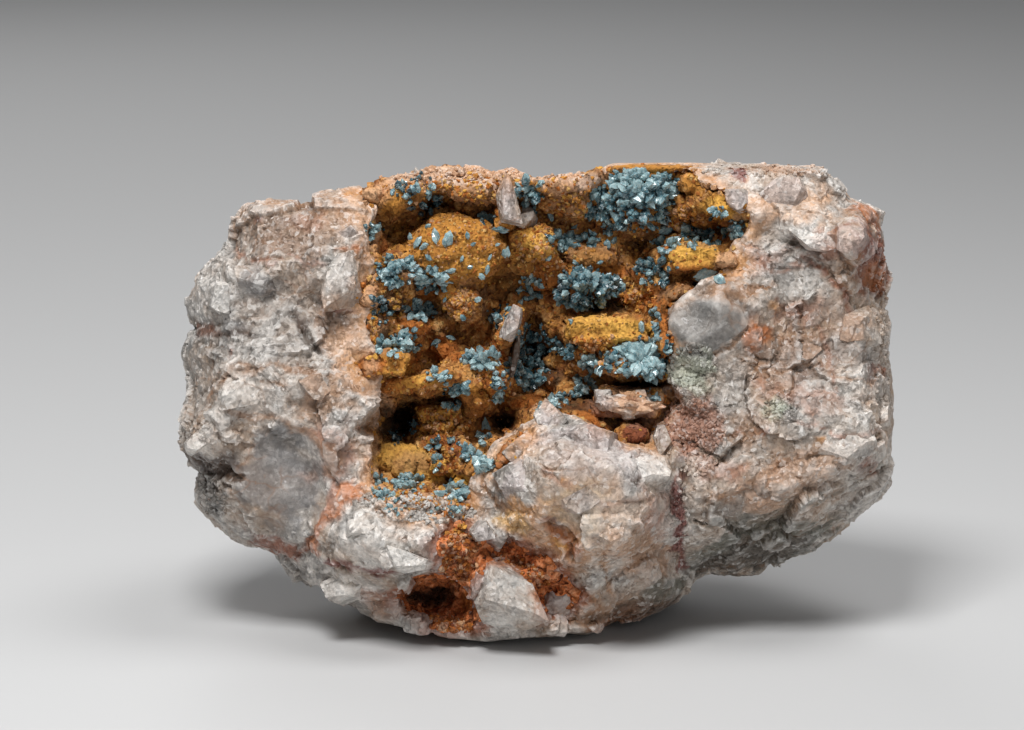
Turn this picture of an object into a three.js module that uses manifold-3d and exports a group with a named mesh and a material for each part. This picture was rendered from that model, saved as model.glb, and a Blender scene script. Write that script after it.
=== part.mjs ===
// Pharmacosiderite on quartz: a broken block of milky quartz with an open pocket in its face.
// The pocket is lined with ochre limonite, and a crust of blue crystals grows on the lining.
// A second, smaller cavity and a crack near the foot hold a rust-coloured limonite seam.
//
// The rock is shaped face-on, in millimetres: u runs right, v up and w out of the face.
// It then leans back and stands on the flat facet under its foot. +Z is up, the face looks along -Y.
import * as THREE from "three";
import { ImprovedNoise } from "three/addons/math/ImprovedNoise.js";
import { mergeVertices } from "three/addons/utils/BufferGeometryUtils.js";
import Module from "manifold-3d";

const wasm = await Module();
wasm.setup();

// Driving dimensions
const LEAN = THREE.MathUtils.degToRad(12); // the face leans back by this much
const FOOT_CUT = 1.4; // height at which the foot is broken off flat
const FACE = 13; // how far the face stands in front of the widest line around the rock
const BACK = 23; // how far the back lies behind it
const BEVEL_ROUNDNESS = 0.6; // 0 is a straight chamfer, 1 a quarter circle
const POCKET_FLOOR = 1; // w of the pocket's floor, before its lumps and hollows
const POCKET_WALL = 1.9; // width of the steep wall inside the pocket's edge
const SHALLOWEST = 0.8; // the pocket's lumps stay at least this far behind the face
const LINING = { thin: 1.1, thick: 2 }; // limonite thickness in the pocket
const SEAM = { thick: 1.2, outside: 0.4, inside: 1.3 }; // limonite in the small cavity, and its fade
const FILM = { thick: 0.7, edge: 0.4, link: 0.9, steepest: 1.7 }; // the crust under the crystals
const GAP = 0.3; // clearance between touching pieces
const STEEPEST = 4; // on a steep wall a layer is deepened by up to this much, to keep its thickness
const DEEP = 60; // how far a cutting plug reaches down
const SPACING = { rim: 2.5, face: 2.9, seam: 2, pocket: 2.1, edge: 1.4, link: 1.4, back: 5 };
const ROWS = { face: 1, back: 1.5, outsidePocket: 0.5, insidePocket: 1.2 }; // points beside an edge
const CLEAR = { row: 0.8, backRow: 1.4, form: 0.7, link: 0.6 }; // least distance of such points
const TRIES = { face: 14000, back: 4000 }; // random places tried for the points between
const FACET = { face: 0.5, pocket: 0.35, back: 0.9 }; // random height of each broken facet's corner
const CRYSTAL = { width: 0.56, flatness: 0.8, shoulder: 0.45, raised: 0.25 }; // parts of its length
const CLUSTER = { splay: 0.8, outward: 0.7, forward: 0.35, loose: 0.5, smallest: 0.8, spread: 0.35 };
const ROUGH = {
  face: [{ rise: 0.9, size: 9 }, { rise: 0.5, size: 3.5 }],
  back: [{ rise: 1.2, size: 12 }, { rise: 0.6, size: 5 }],
  pocket: [{ rise: 0.8, size: 4 }],
  lining: [{ rise: 0.5, size: 5 }],
};

// The widest line around the rock, clockwise from the top left: u, v and w.
// Each side has the width of its bevel towards the face and towards the back.
const SIDES = [
  {
    name: "top",
    bevel: { face: 2.5, back: 9 },
    points: [
      [-37, 55, 7], [-30, 55, 9], [-24.5, 56, 9], [-22.5, 57, 8], [-17.5, 58.5, 6], [-13.5, 59, 5],
      [-11, 60, 6], [-6.5, 59, 6], [-3.5, 59.5, 7], [1, 58.5, 6], [7.5, 59.5, 6], [9.5, 60.8, 5],
      [19.5, 60.8, 6], [28.5, 60.5, 7], [35.5, 60.5, 6],
    ],
  },
  {
    name: "right",
    bevel: { face: 3.5, back: 9 },
    points: [
      [38, 59, 4], [40, 56, 3], [44, 54.5, 1], [44, 51, 0], [44.5, 47.5, 0], [43.5, 42.5, -1],
      [44.5, 40, 0], [44.5, 37, 0], [45, 34, 0], [46, 31, 0], [45, 28.5, 0], [45.5, 24, -1],
      [44.5, 19.5, -2],
    ],
  },
  {
    name: "lower right underside",
    bevel: { face: 9.5, back: 9 },
    points: [[41, 15.5, -5], [35.5, 11, -8], [30, 9.5, -9], [29, 8, -9], [26, 8, -8], [22.5, 9, -6]],
  },
  {
    name: "boulder underside",
    bevel: { face: 7.5, back: 6 },
    points: [[20.5, 8.5, -3], [18, 5, -1], [14.5, 3.5, 0], [10.5, 2.5, 2]],
  },
  {
    name: "foot",
    bevel: { face: 4.5, back: 4 },
    points: [[6.5, 0.5, 4], [2.5, 1, 6], [-2, 0.5, 8], [-6.5, 0, 9], [-11, 0.5, 8], [-15.5, 1.5, 6]],
  },
  {
    name: "lower left underside",
    bevel: { face: 6, back: 7 },
    points: [
      [-19.5, 3, 3], [-25, 5, 0], [-29.5, 7.5, -3], [-33.5, 11.5, -2], [-37.5, 12.5, -2],
      [-41, 15, -2], [-43.5, 17.5, -1],
    ],
  },
  {
    name: "left",
    bevel: { face: 6, back: 9 },
    points: [
      [-44, 19.5, 0], [-43, 21, -2], [-45, 23.5, 0], [-46, 27, 2], [-44, 30, 2], [-43.5, 33, 1],
      [-44.5, 36.5, 1], [-43.5, 40, 0], [-44.5, 43, 1], [-43, 46, 2], [-39, 50, 3], [-38, 52.5, 5],
    ],
  },
];

// The edges of the pocket and of the small cavity with its crack: u and v
const POCKET_EDGE = [
  [-20.5, 56], [-17.5, 57.5], [-12.5, 58], [-8.5, 57.5], [-3, 58], [3, 57.5], [7.5, 59], [14.5, 59.5],
  [18.5, 59.5], [21, 56.5], [23.5, 56], [26.5, 54], [26, 52], [23.5, 49], [22.5, 47], [18.5, 44.5],
  [16, 42.5], [15.5, 37], [16.5, 33], [19, 31.5], [18.5, 29.5], [15, 29], [13.5, 25.5], [9, 26],
  [7.5, 28], [3, 29], [0.5, 29], [-2, 26.5], [-5.5, 25], [-8.5, 21.5], [-9.5, 18], [-12, 16.5],
  [-17, 17.5], [-21.5, 20], [-21, 24], [-21.5, 27], [-20.5, 30.5], [-20, 34.5], [-21.5, 38],
  [-20.5, 43.5], [-20.5, 47.5], [-21.5, 51.5],
];
const SEAM_EDGE = [
  [-18.5, 6], [-17, 8], [-14.5, 9], [-12.5, 10.5], [-12.5, 12], [-11, 13], [-9, 13.5], [-5.5, 13],
  [-3.5, 12], [-1, 10.5], [1.5, 9.5], [2.5, 6.5], [2, 3.5], [-0.5, 3.5], [-1, 6.5], [-2, 8], [-4, 9],
  [-6.5, 9.5], [-6, 5], [-6.5, 2], [-9, 1], [-12.5, 1.5], [-15, 2.5], [-17, 4],
];

// Swells and hollows of the broken face. half is the half length along and across, turn is in degrees
// anticlockwise, rise is the height and top is the share of the width that stays level.
const FACE_FORMS = [
  { name: "top leaning back", at: [-2, 62.5], half: [29, 9], turn: 0, rise: -5, top: 0 },
  { name: "upper left swell", at: [-31.5, 48], half: [10, 6.5], turn: 0, rise: 1.5, top: 0.1 },
  { name: "left chunk", at: [-24.5, 46], half: [3.3, 4.1], turn: 0, rise: 2, top: 0.6 },
  { name: "left groove", at: [-39, 39], half: [6.5, 1.7], turn: -4, rise: -2.6, top: 0.2 },
  { name: "left step", at: [-28, 40.5], half: [1.5, 4.5], turn: -22, rise: -2.2, top: 0.3 },
  { name: "left ledge", at: [-30, 34], half: [12, 3.3], turn: 0, rise: 1.6, top: 0.4 },
  { name: "smooth lens", at: [-32.5, 20.5], half: [9.5, 7.5], turn: -38, rise: -2.2, top: 0.7 },
  { name: "lip", at: [-42, 25.5], half: [5, 1.5], turn: -32, rise: 3.6, top: 0.3 },
  { name: "lip end", at: [-45, 27], half: [1.8, 3.3], turn: 0, rise: 2, top: 0.3 },
  { name: "hollow under the lip", at: [-41, 22], half: [3, 1.4], turn: -30, rise: -3.4, top: 0.2 },
  { name: "corner knob", at: [-41, 18], half: [2.8, 3], turn: 0, rise: 3, top: 0.4 },
  { name: "triangle", at: [-25.5, 24.5], half: [3.3, 7.4], turn: 14, rise: 1.8, top: 0.6 },
  { name: "lower left block", at: [-17.5, 14], half: [10, 6], turn: -12, rise: 4.2, top: 0.45 },
  { name: "broken step", at: [-22, 6], half: [6.5, 2.3], turn: -28, rise: -3.2, top: 0.3 },
  { name: "cavity", at: [-12.5, 6], half: [5.6, 3.3], turn: 0, rise: -13, top: 0.5 },
  { name: "wedge", at: [-3.5, 5.5], half: [4.3, 5.5], turn: 0, rise: 3.4, top: 0.5 },
  { name: "boulder", at: [6, 19], half: [13.2, 9.6], turn: -10, rise: 8.5, top: 0.35 },
  { name: "boulder crest", at: [3, 25], half: [8.4, 3.8], turn: -16, rise: 2.4, top: 0.3 },
  { name: "boulder pit", at: [12, 20.5], half: [1.3, 1.2], turn: 0, rise: -3, top: 0.2 },
  { name: "boulder slit", at: [3, 15], half: [2.8, 0.8], turn: -14, rise: -4, top: 0.2 },
  { name: "upright crack", at: [18, 13.5], half: [0.9, 6.6], turn: 2, rise: -6, top: 0.2 },
  { name: "crack mouth", at: [16, 12], half: [2, 5], turn: -14, rise: -3.5, top: 0.2 },
  { name: "rust crack head", at: [-5.7, 12], half: [1.8, 1.3], turn: -20, rise: -5, top: 0.3 },
  { name: "rust crack", at: [-2, 9.5], half: [4.8, 1.1], turn: -28, rise: -5.5, top: 0.3 },
  { name: "rust crack foot", at: [1, 6], half: [1, 2.8], turn: 0, rise: -5, top: 0.3 },
  { name: "grey lens", at: [22, 40], half: [7, 5], turn: -8, rise: 2.6, top: 0.7 },
  { name: "grey crumbs", at: [19, 34], half: [3, 2.8], turn: 0, rise: -1.8, top: 0.4 },
  { name: "red crumbs", at: [18, 27], half: [5.3, 4.8], turn: 0, rise: -3.2, top: 0.4 },
  { name: "upper right boulder", at: [37, 51.5], half: [6.6, 4.3], turn: -5, rise: 3.4, top: 0.5 },
  { name: "upper right bench", at: [27.5, 55], half: [8.4, 4], turn: 0, rise: 1.6, top: 0.4 },
  { name: "right corner hollow", at: [42.5, 48], half: [3, 6.6], turn: 0, rise: -2.5, top: 0.3 },
  { name: "right middle trough", at: [33.5, 40], half: [8, 2.5], turn: -6, rise: -1.6, top: 0.2 },
  { name: "right swell", at: [33.5, 27.5], half: [11, 7], turn: 0, rise: 1.6, top: 0.3 },
  { name: "slanting ridge", at: [32.5, 20.5], half: [9.6, 2.3], turn: 20, rise: 1.8, top: 0.3 },
];

// Lumps and shelves on the pocket's floor: the highest one at a place is what stands there
const POCKET_LUMPS = [
  { name: "dome", at: [-11.5, 49], half: [7.6, 5.1], turn: 0, rise: 8, top: 0.35 },
  { name: "wall above the dome", at: [-17, 56], half: [5, 2], turn: 16, rise: 7.5, top: 0.3 },
  { name: "ochre lump", at: [-1.5, 50], half: [4.3, 3.4], turn: 0, rise: 8.5, top: 0.35 },
  { name: "ragged roof", at: [-7, 56.5], half: [4.8, 1.8], turn: 0, rise: 6, top: 0.3 },
  { name: "right roof", at: [3.5, 56.5], half: [5, 1.8], turn: 0, rise: 6, top: 0.3 },
  { name: "blue bank", at: [13, 56], half: [6.6, 4.6], turn: 0, rise: 7, top: 0.35 },
  { name: "ochre corner", at: [22.5, 55], half: [3.6, 2], turn: -10, rise: 8.5, top: 0.5 },
  { name: "boxwork", at: [18, 55.5], half: [3, 2.8], turn: 0, rise: 4.5, top: 0.2 },
  { name: "upper right shelf", at: [19, 48.5], half: [5, 1.6], turn: 2, rise: 9.5, top: 0.6 },
  { name: "bank under the shelf", at: [15, 46], half: [4, 2], turn: -20, rise: 5.5, top: 0.3 },
  { name: "brown slope", at: [7, 49], half: [5, 2.3], turn: 0, rise: 2.5, top: 0.2 },
  { name: "central bank", at: [6, 45.5], half: [4.3, 2.3], turn: -6, rise: 5, top: 0.4 },
  { name: "ribs", at: [13.5, 43.5], half: [3.3, 1], turn: 0, rise: 6, top: 0.3 },
  { name: "yellow shelf", at: [9, 39], half: [7, 2.5], turn: 3, rise: 7.5, top: 0.6 },
  { name: "shelf lump", at: [7, 37], half: [2.5, 1.5], turn: 0, rise: 9, top: 0.5 },
  { name: "fan bank", at: [12, 35.5], half: [5, 2.3], turn: 0, rise: 9, top: 0.5 },
  { name: "red hollow floor", at: [12, 27], half: [2.8, 1.8], turn: 0, rise: 2, top: 0.4 },
  { name: "spongy nodule", at: [-9, 43], half: [2.8, 2.3], turn: 0, rise: 7.5, top: 0.5 },
  { name: "left bank", at: [-18, 46], half: [3.6, 5.5], turn: 0, rise: 8.5, top: 0.4 },
  { name: "left bank foot", at: [-18, 39], half: [4.3, 3.6], turn: -20, rise: 8, top: 0.4 },
  { name: "middle ridge", at: [-12.5, 39.5], half: [4.6, 1.8], turn: 6, rise: 4.5, top: 0.3 },
  { name: "ochre shelf", at: [-13.5, 33], half: [7.1, 1.4], turn: 9, rise: 9.5, top: 0.6 },
  { name: "shelf wedge", at: [-18.5, 35.5], half: [2.2, 1.5], turn: 0, rise: 9.5, top: 0.6 },
  { name: "shelf bank", at: [-8, 33.5], half: [3.8, 3.3], turn: 0, rise: 8, top: 0.5 },
  { name: "pillar foot", at: [-4, 34], half: [1.1, 4.3], turn: 0, rise: 7, top: 0.5 },
  { name: "small shelf", at: [-11.5, 28.5], half: [3.6, 1.3], turn: 4, rise: 8, top: 0.6 },
  { name: "small shelf foot", at: [-12, 26], half: [3.8, 1.3], turn: 0, rise: 6.5, top: 0.5 },
  { name: "cave floor", at: [-16, 21.5], half: [6, 2.8], turn: 0, rise: 7, top: 0.3 },
  { name: "red knobs", at: [-10, 23], half: [3.3, 2.3], turn: 0, rise: 9, top: 0.4 },
  { name: "pocket lip", at: [-13.5, 18], half: [7.6, 1.8], turn: -4, rise: 11, top: 0.5 },
  { name: "brown floor", at: [5, 31.5], half: [3, 1.5], turn: 0, rise: 2, top: 0.3 },
];

// Quartz that stands bare through the lining
const BARE_QUARTZ = [
  { name: "blade", at: [-3.5, 55], half: [1.6, 4], turn: -12, rise: 11, top: 0.5 },
  { name: "pillar", at: [-3.5, 40], half: [1.6, 3.3], turn: -24, rise: 9, top: 0.5 },
  { name: "pink ledge", at: [13, 31], half: [5.3, 1.4], turn: 2, rise: 11, top: 0.6 },
  { name: "red knob", at: [11, 27], half: [1.7, 1.5], turn: 0, rise: 6, top: 0.4 },
];

const POCKET_HOLLOWS = [
  { name: "behind the dome", at: [-13.5, 55.5], half: [4.3, 1.7], turn: 8, rise: -6, top: 0.3 },
  { name: "beside the dome", at: [-18.5, 51.5], half: [1.4, 3.3], turn: 0, rise: -5, top: 0.3 },
  { name: "beside the ochre lump", at: [1, 48], half: [1.7, 2.5], turn: 0, rise: -4, top: 0.2 },
  { name: "black hollow", at: [8, 42.5], half: [4.3, 1.1], turn: 3, rise: -8, top: 0.4 },
  { name: "black slot", at: [12.5, 33], half: [4.6, 0.8], turn: 0, rise: -9, top: 0.6 },
  { name: "dark gap", at: [-14.5, 36.5], half: [2.8, 0.9], turn: -10, rise: -6, top: 0.3 },
  { name: "druse hollow", at: [1, 35.5], half: [5, 5], turn: 0, rise: -4, top: 0.3 },
  { name: "cave under the shelf", at: [-18, 28], half: [3.8, 3.3], turn: 20, rise: -10, top: 0.6 },
  { name: "right cave", at: [-4, 27.5], half: [3, 2], turn: -10, rise: -10, top: 0.6 },
];

// Clusters of crystals on the lining. half is the half size of the patch of fine crust.
const CLUSTERS = [
  { name: "left edge", at: [-19.5, 51.5], half: [0.8, 1], crystals: 1, length: 2.2 },
  { name: "left bank", at: [-17.5, 47], half: [2.8, 2], crystals: 4, length: 3.1 },
  { name: "left bank right", at: [-13, 46], half: [2, 1.5], crystals: 3, length: 3.4 },
  { name: "over the nodule", at: [-15, 42], half: [2.3, 1.1], crystals: 3, length: 2.8 },
  { name: "left foot", at: [-19.2, 42], half: [1, 1.8], crystals: 2, length: 2.4 },
  { name: "over the shelf", at: [-17, 37.5], half: [2.3, 1.2], crystals: 2, length: 2.9 },
  { name: "middle ridge", at: [-12, 38.5], half: [1.2, 0.6], crystals: 1, length: 2.4 },
  { name: "dome pair", at: [-12, 51], half: [1, 0.6], crystals: 2, length: 3.6 },
  { name: "behind the dome", at: [-14, 56], half: [2.2, 1], crystals: 2, length: 2.4 },
  { name: "roof", at: [-7, 54], half: [1, 0.8], crystals: 1, length: 2.9 },
  { name: "beside the blade", at: [-0.8, 57], half: [1.4, 0.8], crystals: 2, length: 2.9 },
  { name: "under the roof", at: [3.2, 51], half: [1.5, 1], crystals: 2, length: 2.6 },
  { name: "brown slope", at: [7, 51.2], half: [1, 0.8], crystals: 1, length: 2.4 },
  { name: "blue bank top", at: [11.8, 57.2], half: [2.8, 1.6], crystals: 6, length: 3.6 },
  { name: "blue bank corner", at: [16, 57], half: [1.3, 1.2], crystals: 2, length: 3.8 },
  { name: "blue bank foot", at: [13, 54], half: [3.8, 1.8], crystals: 5, length: 3.1 },
  { name: "blue bank left", at: [8, 55.8], half: [1.8, 1.8], crystals: 4, length: 2.6 },
  { name: "long prism", at: [16.5, 52.2], half: [0.8, 0.6], crystals: 1, length: 3.8 },
  { name: "ochre corner", at: [20.8, 52], half: [1.8, 1.2], crystals: 2, length: 2.9 },
  { name: "corner edge", at: [24.2, 52.4], half: [1, 0.8], crystals: 1, length: 2.9 },
  { name: "under the upper shelf", at: [15, 46.6], half: [2.3, 1.8], crystals: 4, length: 2.9 },
  { name: "big lozenge", at: [20.8, 46.6], half: [0.8, 0.6], crystals: 1, length: 4.1 },
  { name: "central bank", at: [6, 45], half: [3.6, 2.5], crystals: 8, length: 3.4 },
  { name: "rib prism", at: [10.5, 44.5], half: [0.7, 0.6], crystals: 1, length: 2.9 },
  { name: "below the lump", at: [-1, 44.6], half: [1, 1.8], crystals: 2, length: 2.9 },
  { name: "pillar head", at: [-5.6, 41.8], half: [1.3, 1], crystals: 2, length: 2.4 },
  { name: "druse top", at: [-0.4, 38.2], half: [2, 2], crystals: 4, length: 2.6 },
  { name: "druse right", at: [3.2, 37.5], half: [1.5, 1.5], crystals: 2, length: 2.4 },
  { name: "druse foot", at: [-1.2, 34.2], half: [2.3, 2.3], crystals: 4, length: 2.6 },
  { name: "shelf left end", at: [8, 35.7], half: [2, 1.2], crystals: 2, length: 2.6 },
  { name: "fan", at: [11.8, 37.6], half: [2.3, 2.4], crystals: 6, length: 4.1 },
  { name: "fan foot", at: [11.3, 34.8], half: [2.6, 0.9], crystals: 2, length: 2.6 },
  { name: "fan right", at: [14.6, 34.9], half: [1, 1], crystals: 2, length: 2.6 },
  { name: "shelf bank", at: [-7.2, 35.8], half: [1.8, 1], crystals: 3, length: 3.1 },
  { name: "shelf bank foot", at: [-5.2, 32.2], half: [1, 1.8], crystals: 2, length: 2.6 },
  { name: "ochre shelf", at: [-12, 33.4], half: [1.8, 0.8], crystals: 2, length: 2.4 },
  { name: "under the ochre shelf", at: [-11, 30.8], half: [1.6, 0.6], crystals: 1, length: 2.4 },
  { name: "cave", at: [-17.5, 26], half: [1, 1], crystals: 1, length: 2.4 },
  { name: "spindle", at: [-6.6, 27.2], half: [0.7, 1], crystals: 1, length: 3.4 },
  { name: "small shelf row", at: [-12.2, 25], half: [1.9, 0.8], crystals: 2, length: 2.6 },
  { name: "red knobs", at: [-8.6, 23.2], half: [1.2, 1], crystals: 2, length: 2.9 },
  { name: "cave floor", at: [-16, 20.4], half: [1.8, 1.1], crystals: 3, length: 2.9 },
  { name: "lip", at: [-18.6, 19.6], half: [1, 0.7], crystals: 1, length: 2.4 },
  { name: "lip right", at: [-11.3, 19], half: [1.5, 1.2], crystals: 3, length: 2.9 },
  { name: "boulder edge", at: [1.2, 30.2], half: [0.8, 0.8], crystals: 1, length: 2.6 },
  { name: "pale patch", at: [6, 32.4], half: [1.5, 1.2], crystals: 2, length: 2.6 },
];

// The back is broken along a few planes: w at a point, and its slope along u and v
const BACK_PLANES = [
  { name: "main", at: [0, 30], w: -BACK, slope: [0.03, 0.02] },
  { name: "upper right", at: [18, 44], w: -21, slope: [0.42, 0.3] },
  { name: "lower left", at: [-18, 20], w: -22, slope: [-0.34, -0.14] },
  { name: "upper left", at: [-22, 46], w: -21.5, slope: [-0.2, 0.44] },
  { name: "lower right", at: [22, 22], w: -21, slope: [0.45, -0.34] },
];

const BARE_TOP = 0.8; // share of such a form's width that has no limonite at all

// Random numbers that repeat from run to run
function randomSource(seed) {
  let state = seed;
  return () => {
    state = (state + 0x6d2b79f5) | 0;
    let mixed = Math.imul(state ^ (state >>> 15), 1 | state);
    mixed = (mixed + Math.imul(mixed ^ (mixed >>> 7), 61 | mixed)) ^ mixed;
    return ((mixed ^ (mixed >>> 14)) >>> 0) / 4294967296;
  };
}

const random = randomSource(29);
const noise = new ImprovedNoise();
const roughness = (waves, u, v) =>
  waves.reduce((sum, { rise, size }) => sum + rise * noise.noise(u / size, v / size, size + rise), 0);
const eitherWay = (amount) => (2 * random() - 1) * amount;
const { clamp, lerp, smoothstep, degToRad } = THREE.MathUtils;

// Distance from a point to a closed outline, and how far along which edge the nearest place is
function nearestOn(outline, u, v) {
  let best = { distance: Infinity };
  outline.forEach(([au, av], edge) => {
    const [bu, bv] = outline[(edge + 1) % outline.length];
    const along = ((u - au) * (bu - au) + (v - av) * (bv - av)) / ((bu - au) ** 2 + (bv - av) ** 2);
    const t = clamp(along, 0, 1);
    const distance = Math.hypot(u - lerp(au, bu, t), v - lerp(av, bv, t));
    if (distance < best.distance) {
      best = { distance, edge, t };
    }
  });
  return best;
}

function isInside(outline, u, v) {
  let inside = false;
  outline.forEach(([au, av], edge) => {
    const [bu, bv] = outline[(edge + 1) % outline.length];
    if (av > v !== bv > v && u < au + ((v - av) / (bv - av)) * (bu - au)) {
      inside = !inside;
    }
  });
  return inside;
}

// Positive inside the outline, negative outside
function depthInside(outline, u, v) {
  const { distance } = nearestOn(outline, u, v);
  return isInside(outline, u, v) ? distance : -distance;
}

// 1 on a form's level top, falling to 0 at its edge
function share(form, u, v) {
  const turn = degToRad(form.turn);
  const du = u - form.at[0];
  const dv = v - form.at[1];
  const along = (du * Math.cos(turn) + dv * Math.sin(turn)) / form.half[0];
  const across = (dv * Math.cos(turn) - du * Math.sin(turn)) / form.half[1];
  return 1 - smoothstep(Math.hypot(along, across), form.top, 1);
}

const RIM = SIDES.flatMap((side) => side.points.map(([u, v, w]) => ({ u, v, w, ...side.bevel })));
const OUTLINE = RIM.map(({ u, v }) => [u, v]);

// The nearest place on the rim, with its height and its bevels
function rimAt(u, v) {
  const { distance, edge, t } = nearestOn(OUTLINE, u, v);
  const a = RIM[edge];
  const b = RIM[(edge + 1) % RIM.length];
  return { distance, w: lerp(a.w, b.w, t), face: lerp(a.face, b.face, t), back: lerp(a.back, b.back, t) };
}

// How far a bevel has risen, from 0 at the rim to 1 at its inner edge
function bevel(across) {
  const t = clamp(across, 0, 1);
  return lerp(t, Math.sqrt(1 - (1 - t) ** 2), BEVEL_ROUNDNESS);
}

// The broken face, as it would be with no pocket
function faceHeight(u, v) {
  const rim = rimAt(u, v);
  const fade = Math.min(1, rim.distance / SPACING.rim);
  const forms = FACE_FORMS.reduce((sum, form) => sum + form.rise * share(form, u, v), 0);
  const relief = (forms + roughness(ROUGH.face, u, v)) * fade;
  return lerp(rim.w, FACE, bevel(rim.distance / rim.face)) + relief;
}

function backHeight(u, v) {
  const rim = rimAt(u, v);
  const planes = BACK_PLANES.map((p) => p.w + p.slope[0] * (u - p.at[0]) + p.slope[1] * (v - p.at[1]));
  const inner = Math.max(...planes) + roughness(ROUGH.back, u, v);
  return lerp(rim.w, inner, bevel(rim.distance / rim.back));
}

function pocketHeight(u, v) {
  const base = POCKET_FLOOR + roughness(ROUGH.pocket, u, v);
  const standing = [...POCKET_LUMPS, ...BARE_QUARTZ].map((form) => form.rise * share(form, u, v));
  const hollows = POCKET_HOLLOWS.reduce((sum, form) => sum + form.rise * share(form, u, v), 0);
  return base + Math.max(0, ...standing) + hollows;
}

// Heights of the surface, and thickness of the limonite under it, at one point
function groundAt(u, v) {
  const face = faceHeight(u, v);
  const pocket = smoothstep(depthInside(POCKET_EDGE, u, v), 0, POCKET_WALL);
  const seam = smoothstep(depthInside(SEAM_EDGE, u, v), -SEAM.outside, SEAM.inside);
  const bare = Math.max(...BARE_QUARTZ.map((form) => share({ ...form, top: BARE_TOP }, u, v)));
  const jitter = pocket > 0.5 ? FACET.pocket : FACET.face;
  const fade = Math.min(1, rimAt(u, v).distance / SPACING.rim);
  const floor = Math.min(pocketHeight(u, v), face - SHALLOWEST);
  const thickness = lerp(LINING.thin, LINING.thick, 0.5 + roughness(ROUGH.lining, u, v));
  return {
    surface: lerp(face, floor, pocket) + eitherWay(jitter) * fade,
    limonite: thickness * pocket * (1 - bare) + SEAM.thick * seam,
  };
}

// Points along an outline, moved inwards by inset
function ring(outline, inset, spacing) {
  const points = [];
  outline.forEach(([au, av], edge) => {
    const [bu, bv] = outline[(edge + 1) % outline.length];
    const length = Math.hypot(bu - au, bv - av);
    const steps = Math.max(1, Math.round(length / spacing));
    for (let step = 0; step < steps; step++) {
      const u = lerp(au, bu, step / steps) + (inset * (bv - av)) / length;
      const v = lerp(av, bv, step / steps) - (inset * (bu - au)) / length;
      points.push([u, v]);
    }
  });
  const least = CLEAR.row * Math.abs(inset);
  return points.filter(([u, v]) => Math.abs(depthInside(outline, u, v)) >= least);
}

// Points around a form, at a share of its size
function ringAround({ at, half, turn }, size, spacing) {
  const angle = degToRad(turn);
  const steps = Math.round((2 * Math.PI * Math.hypot(...half) * size * Math.SQRT1_2) / spacing);
  return Array.from({ length: steps }, (_, step) => {
    const along = half[0] * size * Math.cos((2 * Math.PI * step) / steps);
    const across = half[1] * size * Math.sin((2 * Math.PI * step) / steps);
    const u = at[0] + along * Math.cos(angle) - across * Math.sin(angle);
    return [u, at[1] + along * Math.sin(angle) + across * Math.cos(angle)];
  });
}

function isClear(points, u, v, spacing) {
  return points.every(([a, b]) => Math.hypot(a - u, b - v) > spacing);
}

// Adds what is clear of the points already there
function addClear(points, more, spacing) {
  for (const [u, v] of more) {
    if (isInside(OUTLINE, u, v) && isClear(points, u, v, spacing)) {
      points.push([u, v]);
    }
  }
}

function addScattered(points, spacingAt, tries) {
  const width = Math.max(...OUTLINE.map(([u]) => Math.abs(u)));
  const height = Math.max(...OUTLINE.map(([, v]) => v));
  for (let i = 0; i < tries; i++) {
    const u = eitherWay(width);
    const v = random() * height;
    const spacing = spacingAt(u, v);
    if (depthInside(OUTLINE, u, v) > 0.6 * spacing && isClear(points, u, v, spacing)) {
      points.push([u, v]);
    }
  }
}

function triangleOf(points, a, b, c) {
  const [ax, ay] = points[a];
  const [bx, by] = [points[b][0] - ax, points[b][1] - ay];
  const [cx, cy] = [points[c][0] - ax, points[c][1] - ay];
  const twice = 2 * (bx * cy - by * cx);
  const x = (cy * (bx * bx + by * by) - by * (cx * cx + cy * cy)) / twice;
  const y = (bx * (cx * cx + cy * cy) - cx * (bx * bx + by * by)) / twice;
  return { corners: [a, b, c], centre: [ax + x, ay + y], radius: Math.hypot(x, y) };
}

const edgesOf = ([a, b, c]) => [[a, b], [b, c], [c, a]];
const edgeKey = ([a, b]) => (a < b ? `${a}-${b}` : `${b}-${a}`);

// Delaunay triangles of the points, anticlockwise, added point by point
function triangulate(points) {
  const far = 1000;
  const all = [...points, [-far, -far], [far, -far], [0, far]];
  let triangles = [triangleOf(all, points.length, points.length + 1, points.length + 2)];
  points.forEach(([u, v], index) => {
    const open = new Map();
    triangles = triangles.filter(({ corners, centre, radius }) => {
      if (Math.hypot(u - centre[0], v - centre[1]) > radius) {
        return true;
      }
      for (const edge of edgesOf(corners)) {
        const key = edgeKey(edge);
        open.has(key) ? open.delete(key) : open.set(key, edge);
      }
      return false;
    });
    for (const [a, b] of open.values()) {
      triangles.push(triangleOf(all, a, b, index));
    }
  });
  return triangles.map(({ corners }) => corners).filter((corners) => Math.max(...corners) < points.length);
}

// Triangles inside a rim whose points come first in the list
function triangulateInside(points, rimLength) {
  const rim = points.slice(0, rimLength);
  const triangles = triangulate(points).filter((corners) => {
    const u = corners.reduce((sum, corner) => sum + points[corner][0] / 3, 0);
    const v = corners.reduce((sum, corner) => sum + points[corner][1] / 3, 0);
    return isInside(rim, u, v);
  });
  const edges = new Set(triangles.flatMap((corners) => edgesOf(corners).map(edgeKey)));
  const missing = rim.findIndex((_, i) => !edges.has(edgeKey([i, (i + 1) % rimLength])));
  if (missing >= 0) {
    throw new Error(`the rim has no triangle on its edge ${missing}`);
  }
  return triangles;
}

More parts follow.
